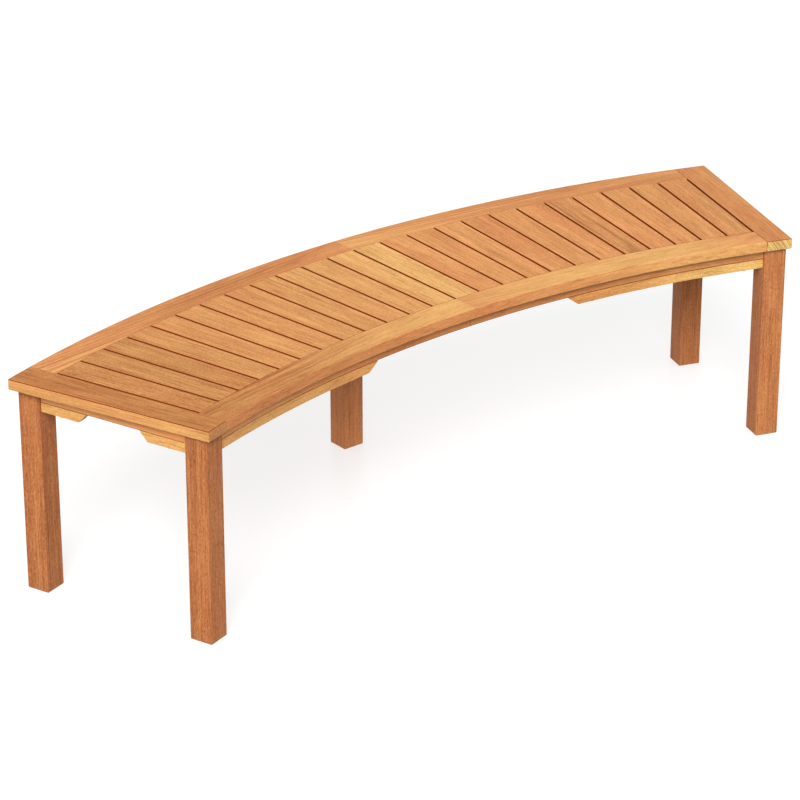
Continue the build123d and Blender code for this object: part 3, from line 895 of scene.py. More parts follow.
@dataclass(frozen=True)
class WoodFigure:
    """Solid wood figure that all timber finishes share.

    Attributes:
        uneven: Rings by which uneven years shift the rings after them.
        uneven_rate: Rate at which that shift changes from ring to ring.
        late_start: Share of a ring where the dark late wood begins.
        late_peak: Share of a ring where it is darkest.
        clear_range: Noise where the rings begin to show and where they are clear.
        clear_gain: Widening of the clear places for each further share of rings.
        fleck_range: Noise where flecks begin and where they are full.
        pore_range: Noise where pores begin and where they are full.
        band_range: Noise where dark streaks begin and where they are full.
        tone_step: Change of light for one step of a look's tone.
        light_swing: Change of red, green and blue with the light; darker wood is redder.
        end_rings: Share of the rings on cut ends.
        roughness: Roughness of the wood, and what fibre and pores add to it.
        relief: Heights of the fibre, the late wood and the pores.
    """

    uneven: float = 1.8
    uneven_rate: float = 0.43
    late_start: float = 0.15
    late_peak: float = 0.85
    clear_range: tuple[float, float] = (-0.10, 0.14)
    clear_gain: float = 0.15
    fleck_range: tuple[float, float] = (0.05, 0.18)
    pore_range: tuple[float, float] = (0.10, 0.22)
    band_range: tuple[float, float] = (0.00, 0.16)
    tone_step: float = 0.2
    light_swing: Colour = (0.8, 1.1, 1.25)
    end_rings: float = 0.8
    roughness: tuple[float, float, float] = (0.48, 0.22, 0.12)
    relief: tuple[float, float, float] = (0.6, 0.25, -0.5)

    def build(self) -> bpy.types.ShaderNodeTree:
        """Make the shader node group.

        Returns:
            Group that reads a board's own grain coordinates, in metres, and puts out a colour, a roughness
            and a height.
        """
        graph = Graph(bpy.data.node_groups.new("wood_figure", "ShaderNodeTree"))
        kinds = {
            SocketKind.VECTOR: FIGURE_VECTORS,
            SocketKind.COLOUR: FIGURE_COLOURS,
            SocketKind.FLOAT: FIGURE_NUMBERS,
        }
        for kind, names in kinds.items():
            for name in names:
                graph.socket(name, kind)
        graph.socket("Color", SocketKind.COLOUR, output=True)
        graph.socket("Roughness", SocketKind.FLOAT, output=True)
        graph.socket("Height", SocketKind.FLOAT, output=True)
        given = graph.inputs()
        noise = {layer: self._noise(graph, given["Grain"], layer) for layer in Layer}
        late = self._late_wood(graph, given, noise[Layer.WAVER])
        fibre = noise[Layer.FIBRE]
        pores = graph.smooth(noise[Layer.PORES], *self.pore_range)
        plain, fibre_share, pore_share = self.roughness
        fibre_height, late_height, pore_height = self.relief
        feeds = {
            "Color": self._colour(graph, given, noise, late, pores),
            "Roughness": fibre * fibre_share + plain + pores * pore_share,
            "Height": fibre * fibre_height + late * late_height + pores * pore_height,
        }
        graph.add("NodeGroupOutput", feeds)
        return graph.tree

    @staticmethod
    def _noise(graph: Graph, grain: Wire, layer: Layer) -> Wire:
        """Make noise that is stretched along the grain.

        Args:
            graph: The group's graph.
            grain: Grain coordinates.
            layer: Layer of the figure.

        Returns:
            Noise from -0.5 to 0.5.
        """
        along, across, detail, crispness = layer.value
        place = graph.vector("MULTIPLY", grain, (along, across, across))
        feeds = {"Vector": place, "Scale": 1.0, "Detail": detail, "Roughness": crispness}
        return graph.wire("ShaderNodeTexNoise", feeds) - 0.5

    def _late_wood(self, graph: Graph, given: dict[str, Wire], waver: Wire) -> Wire:
        """Draw growth rings about the log's heart, wavering and slightly across the board.

        Args:
            graph: The group's graph.
            given: The group's inputs.
            waver: Noise that bends the rings.

        Returns:
            Share of late wood, from 0 to 1.
        """
        along, _, _ = graph.parts(given["Grain"])
        square = graph.vector("MULTIPLY", given["Grain"], (0.0, 1.0, 1.0))
        from_heart = graph.wire("ShaderNodeVectorMath", {0: square}, "Value", operation="LENGTH")
        bend = waver * given["Waver"] + along * given["Lean"]
        rings = (from_heart + bend) / given["Ring Spacing"]
        years = graph.wire("ShaderNodeTexNoise", {"W": rings * self.uneven_rate}, noise_dimensions="1D")
        phase = (rings + years * self.uneven).math("FRACT")
        rise = graph.smooth(phase, self.late_start, self.late_peak)
        return rise * (1.0 - graph.smooth(phase, self.late_peak, 1.0))

    def _colour(
        self, graph: Graph, given: dict[str, Wire], noise: dict[Layer, Wire], late: Wire, pores: Wire
    ) -> Wire:
        """Blend the wood's colours.

        Args:
            graph: The group's graph.
            given: The group's inputs.
            noise: Layers of the figure.
            late: Share of late wood.
            pores: Share of pores.

        Returns:
            The colour.
        """
        tone, warmth, streak = graph.parts(given["Look"])
        rings, end, soaked = graph.parts(given["Marks"])

        # Rings show only in places, and in more of them where a board has extra rings.
        extra = (rings - 1.0).math("MAXIMUM", 0.0)
        clear = graph.smooth(noise[Layer.CLEARNESS] + extra * self.clear_gain, *self.clear_range)
        flecks = graph.smooth(noise[Layer.FLECKS], *self.fleck_range)
        bands = graph.smooth(noise[Layer.BANDS], *self.band_range)

        # Warmth runs from -1 to 1, and the share of the red side from 0 to 1.
        shift = warmth * 0.5 + 0.5
        redness = shift + noise[Layer.DRIFT] * given["Mottle"] + noise[Layer.STREAKS] * given["Mottle"]
        colour = graph.blended(redness, given["Pale"], given["Warm"])
        for share, tint in (
            (late * (clear * (rings * given["Ring Strength"])), "Late"),
            (flecks * given["Flecks"], "Late"),
            (bands * streak, "Dark"),
            (pores * given["Pores"], "Dark"),
        ):
            colour = graph.blended(share, colour, given[tint])
        end_colour = graph.blended(shift, given["End Pale"], given["Warm"])
        end_colour = graph.blended(late * (rings * self.end_rings), end_colour, given["End Late"])
        colour = graph.blended(end, colour, end_colour)
        light = tone * self.tone_step
        for layer in (Layer.BLOTCHES, Layer.STREAKS, Layer.SPECKLE, Layer.FIBRE):
            light = light + noise[layer] * given[layer.name.title()]
        lit = graph.vector("ADD", graph.scaled(self.light_swing, light), (1.0, 1.0, 1.0))
        # Painted shade: blend towards a dark colour on faces in the gaps and on shaded eased edges.
        return graph.blended(soaked, graph.vector("MULTIPLY", colour, lit), given["Soaked"])


def new_material(name: str) -> tuple[bpy.types.Material, Graph, bpy.types.Node]:
    """Start a material with a Principled shader.

    Args:
        name: Name of the material.

    Returns:
        The material, its graph and its shader node.
    """
    material = bpy.data.materials.new(name)
    material.use_nodes = True
    material.node_tree.nodes.clear()
    graph = Graph(material.node_tree)
    shader = graph.add("ShaderNodeBsdfPrincipled")
    graph.add("ShaderNodeOutputMaterial", {"Surface": Wire(graph, shader.outputs[0])})
    return material, graph, shader


def opaque(colour: Colour) -> tuple[float, float, float, float]:
    """Give a colour full alpha."""
    return (*colour, 1.0)


@dataclass(frozen=True)
class WoodFinish:
    """Oiled hardwood, with the colours and figure of one kind of piece.

    Attributes:
        name: Name of the material.
        pale: Yellow side of the wood's colour.
        warm: Red side of the wood's colour.
        late: Dark lines of the growth rings.
        dark: Pores and streaks.
        end_pale: Light wood on cut ends.
        end_late: Rings on cut ends.
        soaked: Painted shade, a dark red-brown that stands in for the shade in the gaps between boards and
            along some eased edges.
        ring_spacing: Width of a growth ring, in metres.
        ring_strength: Share of the late wood's colour.
        waver: Unevenness of the rings, in metres.
        lean: Slope of the rings along the board.
        mottle: Strength of the change between yellow and red.
        blotches: Strength of the cloudy patches.
        streaks: Strength of the long streaks.
        flecks: Strength of the short flecks.
        speckle: Strength of the short specks.
        fibre: Strength of the fine fibre.
        pores: Strength of the pores.
        bump: Strength of the relief.
        bump_depth: Depth of the relief, in metres.
        specular: Strength of the sheen.
    """

    name: str
    pale: Colour = (0.632, 0.342, 0.113)
    warm: Colour = (0.588, 0.230, 0.082)
    late: Colour = (0.40, 0.135, 0.042)
    dark: Colour = (0.24, 0.100, 0.030)
    end_pale: Colour = (0.64, 0.41, 0.145)
    end_late: Colour = (0.34, 0.155, 0.045)
    # Painted shade: dark red-brown that stands in for the shade in gaps and along shaded eased edges.
    soaked: Colour = (0.215, 0.036, 0.006)
    ring_spacing: float = 0.0052
    ring_strength: float = 0.45
    waver: float = 0.010
    lean: float = 0.012
    mottle: float = 1.2
    blotches: float = 0.40
    streaks: float = 1.1
    flecks: float = 0.45
    speckle: float = 0.85
    fibre: float = 0.45
    pores: float = 0.35
    bump: float = 0.25
    bump_depth: float = 0.4 * MM
    specular: float = 0.07

    def build(self, figure: bpy.types.ShaderNodeTree, place: Place | None = None) -> bpy.types.Material:
        """Make the material.

        Args:
            figure: The shared wood figure.
            place: Place of the piece in the log, if its mesh stores no grain.

        Returns:
            The finished material.
        """
        material, graph, shader = new_material(self.name)
        group = graph.add("ShaderNodeGroup", node_tree=figure)
        graph.fill(group, self._grain_on_object(graph, place) if place else self._stored_grain(graph))
        graph.fill(group, {name: opaque(self._value(name)) for name in FIGURE_COLOURS})
        graph.fill(group, {name: self._value(name) for name in FIGURE_NUMBERS})
        wood = graph.outputs_of(group)
        bump = {"Strength": self.bump, "Distance": self.bump_depth, "Height": wood["Height"]}
        feeds = {
            "Base Color": wood["Color"],
            "Roughness": wood["Roughness"],
            "Normal": graph.wire("ShaderNodeBump", bump),
            "Specular IOR Level": self.specular,
        }
        graph.fill(shader, feeds)
        return material

    def _value(self, name: str) -> Colour | float:
        """Give the value of one of the figure's inputs."""
        return getattr(self, name.lower().replace(" ", "_"))

    @staticmethod
    def _stored_grain(graph: Graph) -> Feeds:
        """Read the grain, the look and the marks that a piece's mesh stores.

        Args:
            graph: The material's graph.

        Returns:
            Wires for the figure's inputs.
        """
        return {
            name: graph.wire("ShaderNodeAttribute", output="Vector", attribute_name=name.lower())
            for name in FIGURE_VECTORS
        }

    @staticmethod
    def _grain_on_object(graph: Graph, place: Place) -> Feeds:
        """Lay the grain along X of the object, with full rings and no cut ends.

        Args:
            graph: The material's graph.
            place: Place of the piece in the log.

        Returns:
            Values for the figure's inputs.
        """
        own = graph.wire("ShaderNodeTexCoord", output="Object")
        grain = graph.wire("ShaderNodeMapping", {"Vector": own, "Location": place})
        return {"Grain": grain, "Marks": (1.0, 0.0, 0.0)}


@dataclass(frozen=True)
class PlatedSteel:
    """Zinc-plated steel with a faint spangle and dull patches.

    Attributes:
        name: Name of the material.
        bright: Colour of clean plating.
        dull: Colour of dull plating.
        spangle_scale: Crystals per metre.
        grime_scale: Dull patches per metre.
        grime_detail: Number of finer layers in the dull patches.
        roughness: Roughness of clean plating, and what dull patches add to it.
        bump: Strength of the relief.
        bump_depth: Depth of the relief, in metres.
    """

    name: str
    bright: Colour = (0.62, 0.63, 0.62)
    dull: Colour = (0.44, 0.45, 0.46)
    spangle_scale: float = 900.0
    grime_scale: float = 160.0
    grime_detail: float = 4.0
    roughness: tuple[float, float] = (0.26, 0.25)
    bump: float = 0.08
    bump_depth: float = 0.1 * MM

    def build(self) -> bpy.types.Material:
        """Make the material.

        Returns:
            The finished material.
        """
        material, graph, shader = new_material(self.name)
        place = graph.wire("ShaderNodeTexCoord", output="Object")
        crystals = {"Vector": place, "Scale": self.spangle_scale}
        spangle = graph.wire("ShaderNodeTexVoronoi", crystals, "Distance")
        patches = {"Vector": place, "Scale": self.grime_scale, "Detail": self.grime_detail}
        grime = graph.wire("ShaderNodeTexNoise", patches)
        wear = spangle.math("MULTIPLY", grime, clamp=True)
        clean, added = self.roughness
        bump = {"Strength": self.bump, "Distance": self.bump_depth, "Height": grime}
        feeds = {
            "Base Color": graph.blended(wear, opaque(self.bright), opaque(self.dull)),
            "Roughness": grime * added + clean,
            "Normal": graph.wire("ShaderNodeBump", bump),
            "Metallic": 1.0,
        }
        graph.fill(shader, feeds)
        return material


@dataclass
class Finishes:
    """All materials of the bench, by slot.

    Attributes:
        materials: The materials that are made.
        dowel_place: Place of the dowels in the log.
    """

    materials: dict[Slot, bpy.types.Material] = field(default_factory=dict)
    dowel_place: Place = (0.0, 2.6, -0.1)

    def build(self) -> None:
        """Make every material once."""
        figure = WoodFigure().build()
        woods = {
            Slot.SLAT: WoodFinish("slat_wood_oiled"),
            Slot.RAIL: WoodFinish(
                "rail_wood_oiled",
                ring_spacing=0.0090,
                ring_strength=0.60,
                waver=0.024,
                lean=0.03,
                streaks=0.8,
                speckle=0.5,
            ),
            Slot.LEG: WoodFinish(
                "leg_wood_oiled",
                pale=(0.470, 0.184, 0.064),
                warm=(0.408, 0.137, 0.047),
                late=(0.27, 0.080, 0.028),
                dark=(0.16, 0.056, 0.018),
                ring_spacing=0.0065,
                ring_strength=0.6,
                streaks=1.3,
                flecks=0.5,
                speckle=1.2,
                fibre=0.6,
                pores=0.5,
            ),
            Slot.APRON: WoodFinish(
                "apron_wood_oiled",
                pale=(0.550, 0.260, 0.092),
                warm=(0.480, 0.166, 0.054),
                ring_spacing=0.0065,
                waver=0.016,
                speckle=0.5,
            ),
            Slot.CLEAT: WoodFinish(
                "cleat_wood_oiled",
                pale=(0.650, 0.385, 0.122),
                warm=(0.585, 0.258, 0.080),
                ring_spacing=0.0070,
            ),
        }
        for slot, wood in woods.items():
            self.materials[slot] = wood.build(figure)
        dowel = WoodFinish("dowel_wood_turned", pale=(0.62, 0.44, 0.25), warm=(0.55, 0.36, 0.19))
        self.materials[Slot.DOWEL] = dowel.build(figure, self.dowel_place)
        self.materials[Slot.STEEL] = PlatedSteel("fastener_steel_plated").build()


def read_vectors(items: bpy.types.bpy_prop_collection, name: str) -> np.ndarray:
    """Read a vector property of all items.

    Args:
        items: Vertices or polygons of a mesh.
        name: Name of the property.

    Returns:
        One row for each item.
    """
    values = np.empty(len(items) * 3, np.float32)
    items.foreach_get(name, values)
    return values.reshape(-1, 3)


@dataclass
class Workshop:
    """Makes finished pieces from the shape trees and puts them on the bench.

    Attributes:
        plan: Sizes of the bench.
        trees: Shape trees.
        finishes: Materials of the bench.
        random: Source of what differs from board to board.
        heart_run: Greatest shift of a board along the log, in metres.
        heart_swing: Greatest share by which the heart's place differs from the sawing's own.
        tone_spread: Greatest tone of a random look.
        warmth_spread: Greatest warmth of a random look.
        change_spread: Greatest change along a board of a random look.
    """

    plan: SeatPlan
    trees: ShapeTrees
    finishes: Finishes
    random: np.random.Generator = field(default_factory=lambda: np.random.default_rng(SEED))
    heart_run: float = 3.0
    heart_swing: float = 0.3
    tone_spread: float = 0.3
    warmth_spread: float = 0.4
    change_spread: float = 0.2

    def shape(
        self,
        name: str,
        tree: bpy.types.GeometryNodeTree,
        sizes: dict[str, float | int],
        slot: Slot,
        places: Sequence[Vector] = (),
        angles: Sequence[float] = (),
    ) -> bpy.types.Object:
        """Make a piece's mesh with a shape tree.

        Args:
            name: Name of the piece.
            tree: Shape tree.
            sizes: Values of the tree's inputs; the others stay 0.
            slot: Slot whose finish the piece has.
            places: Base points, if the tree needs them.
            angles: Angle at each base point, if the tree needs it.

        Returns:
            Object with a plain mesh, at the origin.
        """
        base = bpy.data.meshes.new(name + "_base")
        base.from_pydata([tuple(place) for place in places], [], [])
        if angles:
            base.attributes.new("angle", "FLOAT", "POINT").data.foreach_set("value", list(angles))
            base.attributes.new("board", "INT", "POINT").data.foreach_set("value", list(range(len(angles))))
        piece = bpy.data.objects.new(name, base)
        bpy.context.scene.collection.objects.link(piece)
        modifier = piece.modifiers.new("shape", "NODES")
        modifier.node_group = tree
        values = {**sizes, "Finish": self.finishes.materials[slot]}
        for item in tree.interface.items_tree:
            if item.item_type == "SOCKET" and item.in_out == "INPUT" and item.name in values:
                modifier[item.identifier] = values[item.name]
        shading = piece.modifiers.new("shading", "WEIGHTED_NORMAL")
        shading.keep_sharp = True
        evaluated = piece.evaluated_get(bpy.context.evaluated_depsgraph_get())
        mesh = bpy.data.meshes.new_from_object(evaluated)
        mesh.name = name
        piece.modifiers.clear()
        piece.data = mesh
        bpy.data.meshes.remove(base)
        return piece

    def draw(self, spread: float) -> float:
        """Draw a number that is at most a spread away from zero."""
        return self.random.uniform(-spread, spread)

    def any_look(self) -> Look:
        """Pick a board's look at random, near the finish's own colour.

        Returns:
            The look.
        """
        tone = self.draw(self.tone_spread)
        warmth = self.draw(self.warmth_spread)
        return Look.turning(tone, warmth, self.draw(self.change_spread))

    def _heart(self, sawing: Sawing) -> np.ndarray:
        """Pick where a board lay in the log.

        Args:
            sawing: Way the board was cut.

        Returns:
            Place of the board's origin along the log, and across and above its heart.
        """
        across, below = sawing.value
        spread = self.random.uniform(-1.0, 1.0, 3)
        side = 1.0 if self.random.uniform() < 0.5 else -1.0
        swing = 1.0 + self.heart_swing * spread
        return np.array((self.heart_run * spread[0], side * across * swing[1], below * swing[2]))

    def lay_grain(self, piece: bpy.types.Object, boards: Sequence[BoardGrain]) -> None:
        """Store each board's grain coordinates, look and cut ends on a piece's mesh.

        Args:
            piece: Piece to dress.
            boards: Its boards; more than one needs the mesh's "board" attribute.
        """
        mesh = piece.data
        points = read_vectors(mesh.vertices, "co")
        centres = read_vectors(mesh.polygons, "center")
        normals = read_vectors(mesh.polygons, "normal")
        numbers = np.zeros(len(points), np.int32)
        if len(boards) > 1:
            mesh.attributes["board"].data.foreach_get("value", numbers)
        face_numbers = numbers[[polygon.vertices[0] for polygon in mesh.polygons]]
        grain = np.zeros((len(points), 3), np.float32)
        looks = np.zeros((len(centres), LOOK_COLUMNS), np.float32)
        ends = np.zeros(len(centres), bool)
        for number, board in enumerate(boards):
            own = numbers == number
            grain[own] = (points[own] - np.array(board.origin)) @ board.axes.T + self._heart(board.sawing)
            faces = face_numbers == number
            looks[faces], ends[faces] = board.face_looks(centres[faces], normals[faces])
        marks = np.column_stack([looks[:, RINGS_COLUMN], ends, looks[:, PAINTED_SHADE_COLUMN]]).astype(np.float32)
        tints = looks[:, :RINGS_COLUMN]
        stored = (("grain", "POINT", grain), ("look", "FACE", tints), ("marks", "FACE", marks))
        for name, domain, values in stored:
            mesh.attributes.new(name, "FLOAT_VECTOR", domain).data.foreach_set("vector", values.ravel())

    def hand_over(self, piece: bpy.types.Object, slot: Slot, nodes: Sequence[str]) -> None:
        """Put a finished piece on the bench in place of its CAD nodes.

        Args:
            piece: Finished piece.
            slot: Slot whose finish the piece has; not used.
            nodes: CAD nodes that it stands for.
        """
        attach(piece, BODY)
        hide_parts(*nodes)
        log.info("%s stands for %s", piece.name, ", ".join(nodes))


@dataclass
class Seat:
    """Slats, curved rails and end boards.

    Attributes:
        shop: Workshop that makes the pieces.
        board_ease: Easing of the outside edges.
        slat_ease: Easing of the slats.
        joint_ease: Easing of edges that meet another board.
        straight_rings: Rings of points along a straight board.
        arc_rings: Rings of points along a rail.
        rift_every: One slat in this many is rift sawn, and the others are quarter sawn.
        slat_edge_shade: Share of painted shade on the slats' upper edges, dark lines along the gaps and the
            joints with the rails.
        end_edge_shade: Share of painted shade on the end boards' upper edges, a dark line along them.
        gap_shade: Look of the sides that face a gap, fully in painted shade.
        tone_trend: Tones of some slats, counted from the left, between which the others lie.
        warmth_trend: Warmths of some slats, likewise.
        tone_spread: Greatest random tone of a slat.
        warmth_spread: Greatest random warmth of a slat.
        change_spread: Greatest random change along a slat.
        streak_most: Greatest random streak of a slat.
        ring_range: Least and greatest share of rings of a slat.
        odd_slats: Tones of the slats that stand out from the others.
        streaked_slat: The slat with strong dark streaks.
        strong_streak: Streak of that slat.
        rail_tops: Looks of the rails.
        rail_faces: Looks of the inner rails' concave faces.
        end_tops: Looks of the end boards.
        end_cuts: Looks of the end boards' cut ends.
        end_face: Look of the end boards' outside edges.
    """

    shop: Workshop
    board_ease: float = 1.5 * MM
    slat_ease: float = 0.7 * MM
    joint_ease: float = 0.35 * MM
    straight_rings: int = 8
    arc_rings: int = 56
    rift_every: int = 3
    # Painted shade on the upper eased edges of the slats and end boards.
    slat_edge_shade: float = 0.8
    end_edge_shade: float = 1.0
    # Sides facing a gap are fully in painted shade, dark as the shade deep in the narrow gaps.
    gap_shade: Look = Look(soaked=1.0)
    tone_trend: dict[int, float] = field(
        default_factory=lambda: {0: -1.35, 3: -0.95, 5: -0.55, 8: -0.2, 12: 0.15, 19: 0.05, 23: -0.25}
    )
    warmth_trend: dict[int, float] = field(
        default_factory=lambda: {0: -0.3, 3: -0.15, 8: 0.05, 11: -0.5, 12: -1.0, 13: 0.45, 23: 0.4}
    )
    tone_spread: float = 0.1
    warmth_spread: float = 0.15
    change_spread: float = 0.25
    streak_most: float = 0.2
    ring_range: tuple[float, float] = (0.2, 1.0)
    odd_slats: dict[int, float] = field(
        default_factory=lambda: {2: -0.6, 4: 0.4, 8: -0.4, 12: 0.5, 19: -0.4}
    )
    streaked_slat: int = 19
    strong_streak: float = 0.85
    rail_tops: dict[str, Look] = field(
        default_factory=lambda: {
            "inner_rail_left": Look(
                (-2.0, -1.3, -0.3, 0.1), (-0.6, -0.5, -0.6, -1.2), streak=0.1, rings=(1.7, 1.7, 1.3, 0.3)
            ),
            "inner_rail_right": Look((-0.1, 0.3, 0.25, 0.1), (0.3, -1.0, -0.8, 0.5), rings=(0.3,)),
            "outer_rail_left": Look((0.5, -0.2, -0.7, -0.3), (0.2, 0.4, 0.6, 0.7), streak=0.1, rings=(1.3,)),
            "outer_rail_right": Look((0.7, 0.2, -0.4, 0.3), (-0.1, 0.2, 0.4, 0.4), streak=0.2, rings=(1.4,)),
        }
    )
    rail_faces: dict[str, Look] = field(
        default_factory=lambda: {
            "inner_rail_left": Look((-0.5, -0.6, 0.1), (0.9, 0.9, 0.8), rings=(0.7,)),
            "inner_rail_right": Look((-0.4, 0.2, 0.1), (0.9, 0.2, -0.3), rings=(0.5,)),
        }
    )
    end_tops: dict[Hand, Look] = field(
        default_factory=lambda: {
            Hand.LEFT: Look((-2.1,), (-0.4,), rings=(0.1,)),
            Hand.RIGHT: Look((-0.6, -0.8), (0.3,), rings=(0.15,)),
        }
    )
    end_cuts: dict[Hand, Look] = field(
        default_factory=lambda: {
            Hand.LEFT: Look((-1.1,), (0.4,), rings=(0.3,)),
            Hand.RIGHT: Look((0.2,), (-1.0,)),
        }
    )
    end_face: Look = Look((-0.2, -0.4), (-0.4,), rings=(0.5,))

    def build(self) -> None:
        """Make every board of the seat."""
        self._slats()
        for hand in Hand:
            self._rail(hand, Side.INNER)
            self._rail(hand, Side.OUTER)
            self._end_board(hand)

    def _slats(self) -> None:
        """Make the slats, one wedge for each pitch."""
        plan = self.shop.plan
        count = 2 * plan.slats_per_half
        angles = [(number + 0.5 - plan.slats_per_half) * plan.pitch for number in range(count)]
        inner = plan.inner_radius + plan.rail_width + plan.joint_hairline
        outer = plan.outer_radius - plan.rail_width - plan.joint_hairline
        sizes = {
            "Inner Radius": inner,
            "Outer Radius": outer,
            "Inner Width": plan.slat_width(inner),
            "Outer Width": plan.slat_width(outer),
            "Height": plan.board_thickness,
            "Base": plan.seat_underside,
            "Left Ease": self.slat_ease,
            "Right Ease": self.slat_ease,
            "End Ease": self.slat_ease,
            "Rings": self.straight_rings,
        }
        centres = [Vector((0.0, plan.centre_y, 0.0))] * count
        piece = self.shop.shape("seat_slats", self.shop.trees.wedge, sizes, Slot.SLAT, centres, angles)
        boards = [
            BoardGrain(
                origin=plan.point((inner + outer) / 2, angle, plan.seat_height),
                along=plan.outward(angle),
                up=UP,
                sawing=Sawing.QUARTER if number % self.rift_every else Sawing.RIFT,
                look=self._slat_look(number),
                # The sides that face gaps get painted shade.
                sides=(self.gap_shade, self.gap_shade),
                arris_shade=(0.0, self.slat_edge_shade),
            )
            for number, angle in enumerate(angles)
        ]
        self.shop.lay_grain(piece, boards)
        self.shop.hand_over(piece, Slot.SLAT, [f"slat_{number + 1:02d}" for number in range(count)])

    def _slat_look(self, number: int) -> Look:
        """Pick a slat's look: dark at the left end, light and yellow in the middle, redder on the right.

        Args:
            number: Slat, counted from the left.

        Returns:
            The slat's look.
        """
        trends = (self.tone_trend, self.warmth_trend)
        tone, warmth = (np.interp(number, list(trend), list(trend.values())) for trend in trends)
        tone += self.shop.draw(self.tone_spread)
        warmth += self.shop.draw(self.warmth_spread)
        change = self.shop.draw(self.change_spread)
        streak = self.shop.random.uniform(0.0, self.streak_most)
        rings = self.shop.random.uniform(*self.ring_range)
        tone += self.odd_slats.get(number, 0.0)
        if number == self.streaked_slat:
            streak = self.strong_streak
        return Look.turning(tone, warmth, change, streak=streak, rings=(rings,))

    def _rail(self, hand: Hand, side: Side) -> None:
        """Make half of a curved rail.

        Args:
            hand: Half of the bench.
            side: Long side of the bench.
        """
        plan = self.shop.plan
        inner = side is Side.INNER
        middle = plan.inner_radius + plan.rail_width / 2 if inner else plan.outer_radius - plan.rail_width / 2
        hairline = plan.joint_hairline / middle
        angles = sorted((hand.value * hairline / 2, hand.value * (plan.end_angle(middle) - hairline)))
        sizes = {
            "Centre Y": plan.centre_y,
            "Middle Radius": middle,
            "Start Angle": angles[0],
            "End Angle": angles[1],
            "Width": plan.rail_width,
            "Height": plan.board_thickness,
            "Base": plan.seat_underside,
            "Concave Ease": self.board_ease if inner else self.joint_ease,
            "Convex Ease": self.joint_ease if inner else self.board_ease,
            "Start Ease": self.joint_ease,
            "End Ease": self.joint_ease,
            "Rings": self.arc_rings,
        }
        node = f"{side.word}_rail_{hand.word}"
        piece = self.shop.shape(node + "_board", self.shop.trees.arc, sizes, Slot.RAIL)
        chord = sum(angles) / 2
        top = self.rail_tops[node]
        grain = BoardGrain(
            origin=plan.point(middle, chord, plan.seat_height),
            along=plan.along(chord),
            up=UP,
            sawing=Sawing.RIFT,
            look=top,
            sides=(self.rail_faces[node], top) if inner else None,
        )
        self.shop.lay_grain(piece, [grain])
        self.shop.hand_over(piece, Slot.RAIL, [node])

    def _end_board(self, hand: Hand) -> None:
        """Make an end board, a full-depth wedge over the corner legs.

        Args:
            hand: End of the bench.
        """
        plan = self.shop.plan
        angle = hand.value * (plan.half_field + plan.half_sweep) / 2
        eases = (self.joint_ease, self.board_ease)[:: hand.value]
        sizes = {
            "Inner Radius": plan.inner_radius,
            "Outer Radius": plan.outer_radius,
            "Inner Width": plan.inner_radius * plan.end_sweep - plan.end_edge,
            "Outer Width": plan.outer_radius * plan.end_sweep - plan.end_edge,
            "Height": plan.board_thickness,
            "Base": plan.seat_underside,
            "Left Ease": eases[0],
            "Right Ease": eases[1],
            "End Ease": self.board_ease,
            "Side Shift": hand.value * plan.end_edge / 2,
            "Rings": self.straight_rings,
        }
        node = f"end_board_{hand.word}"
        centre = Vector((0.0, plan.centre_y, 0.0))
        piece = self.shop.shape(node + "_board", self.shop.trees.wedge, sizes, Slot.RAIL, [centre], [angle])
        grain = BoardGrain(
            origin=plan.point(plan.inner_radius + plan.seat_depth / 2, angle, plan.seat_height),
            along=plan.outward(angle),
            up=UP,
            sawing=Sawing.RIFT,
            look=self.end_tops[hand],
            # The side that faces the gap gets painted shade.
            sides=(self.end_face, self.gap_shade)[:: hand.value],
            ends=self.end_cuts[hand],
            arris_shade=(0.0, self.end_edge_shade),
        )
        self.shop.lay_grain(piece, [grain])
        self.shop.hand_over(piece, Slot.RAIL, [node])


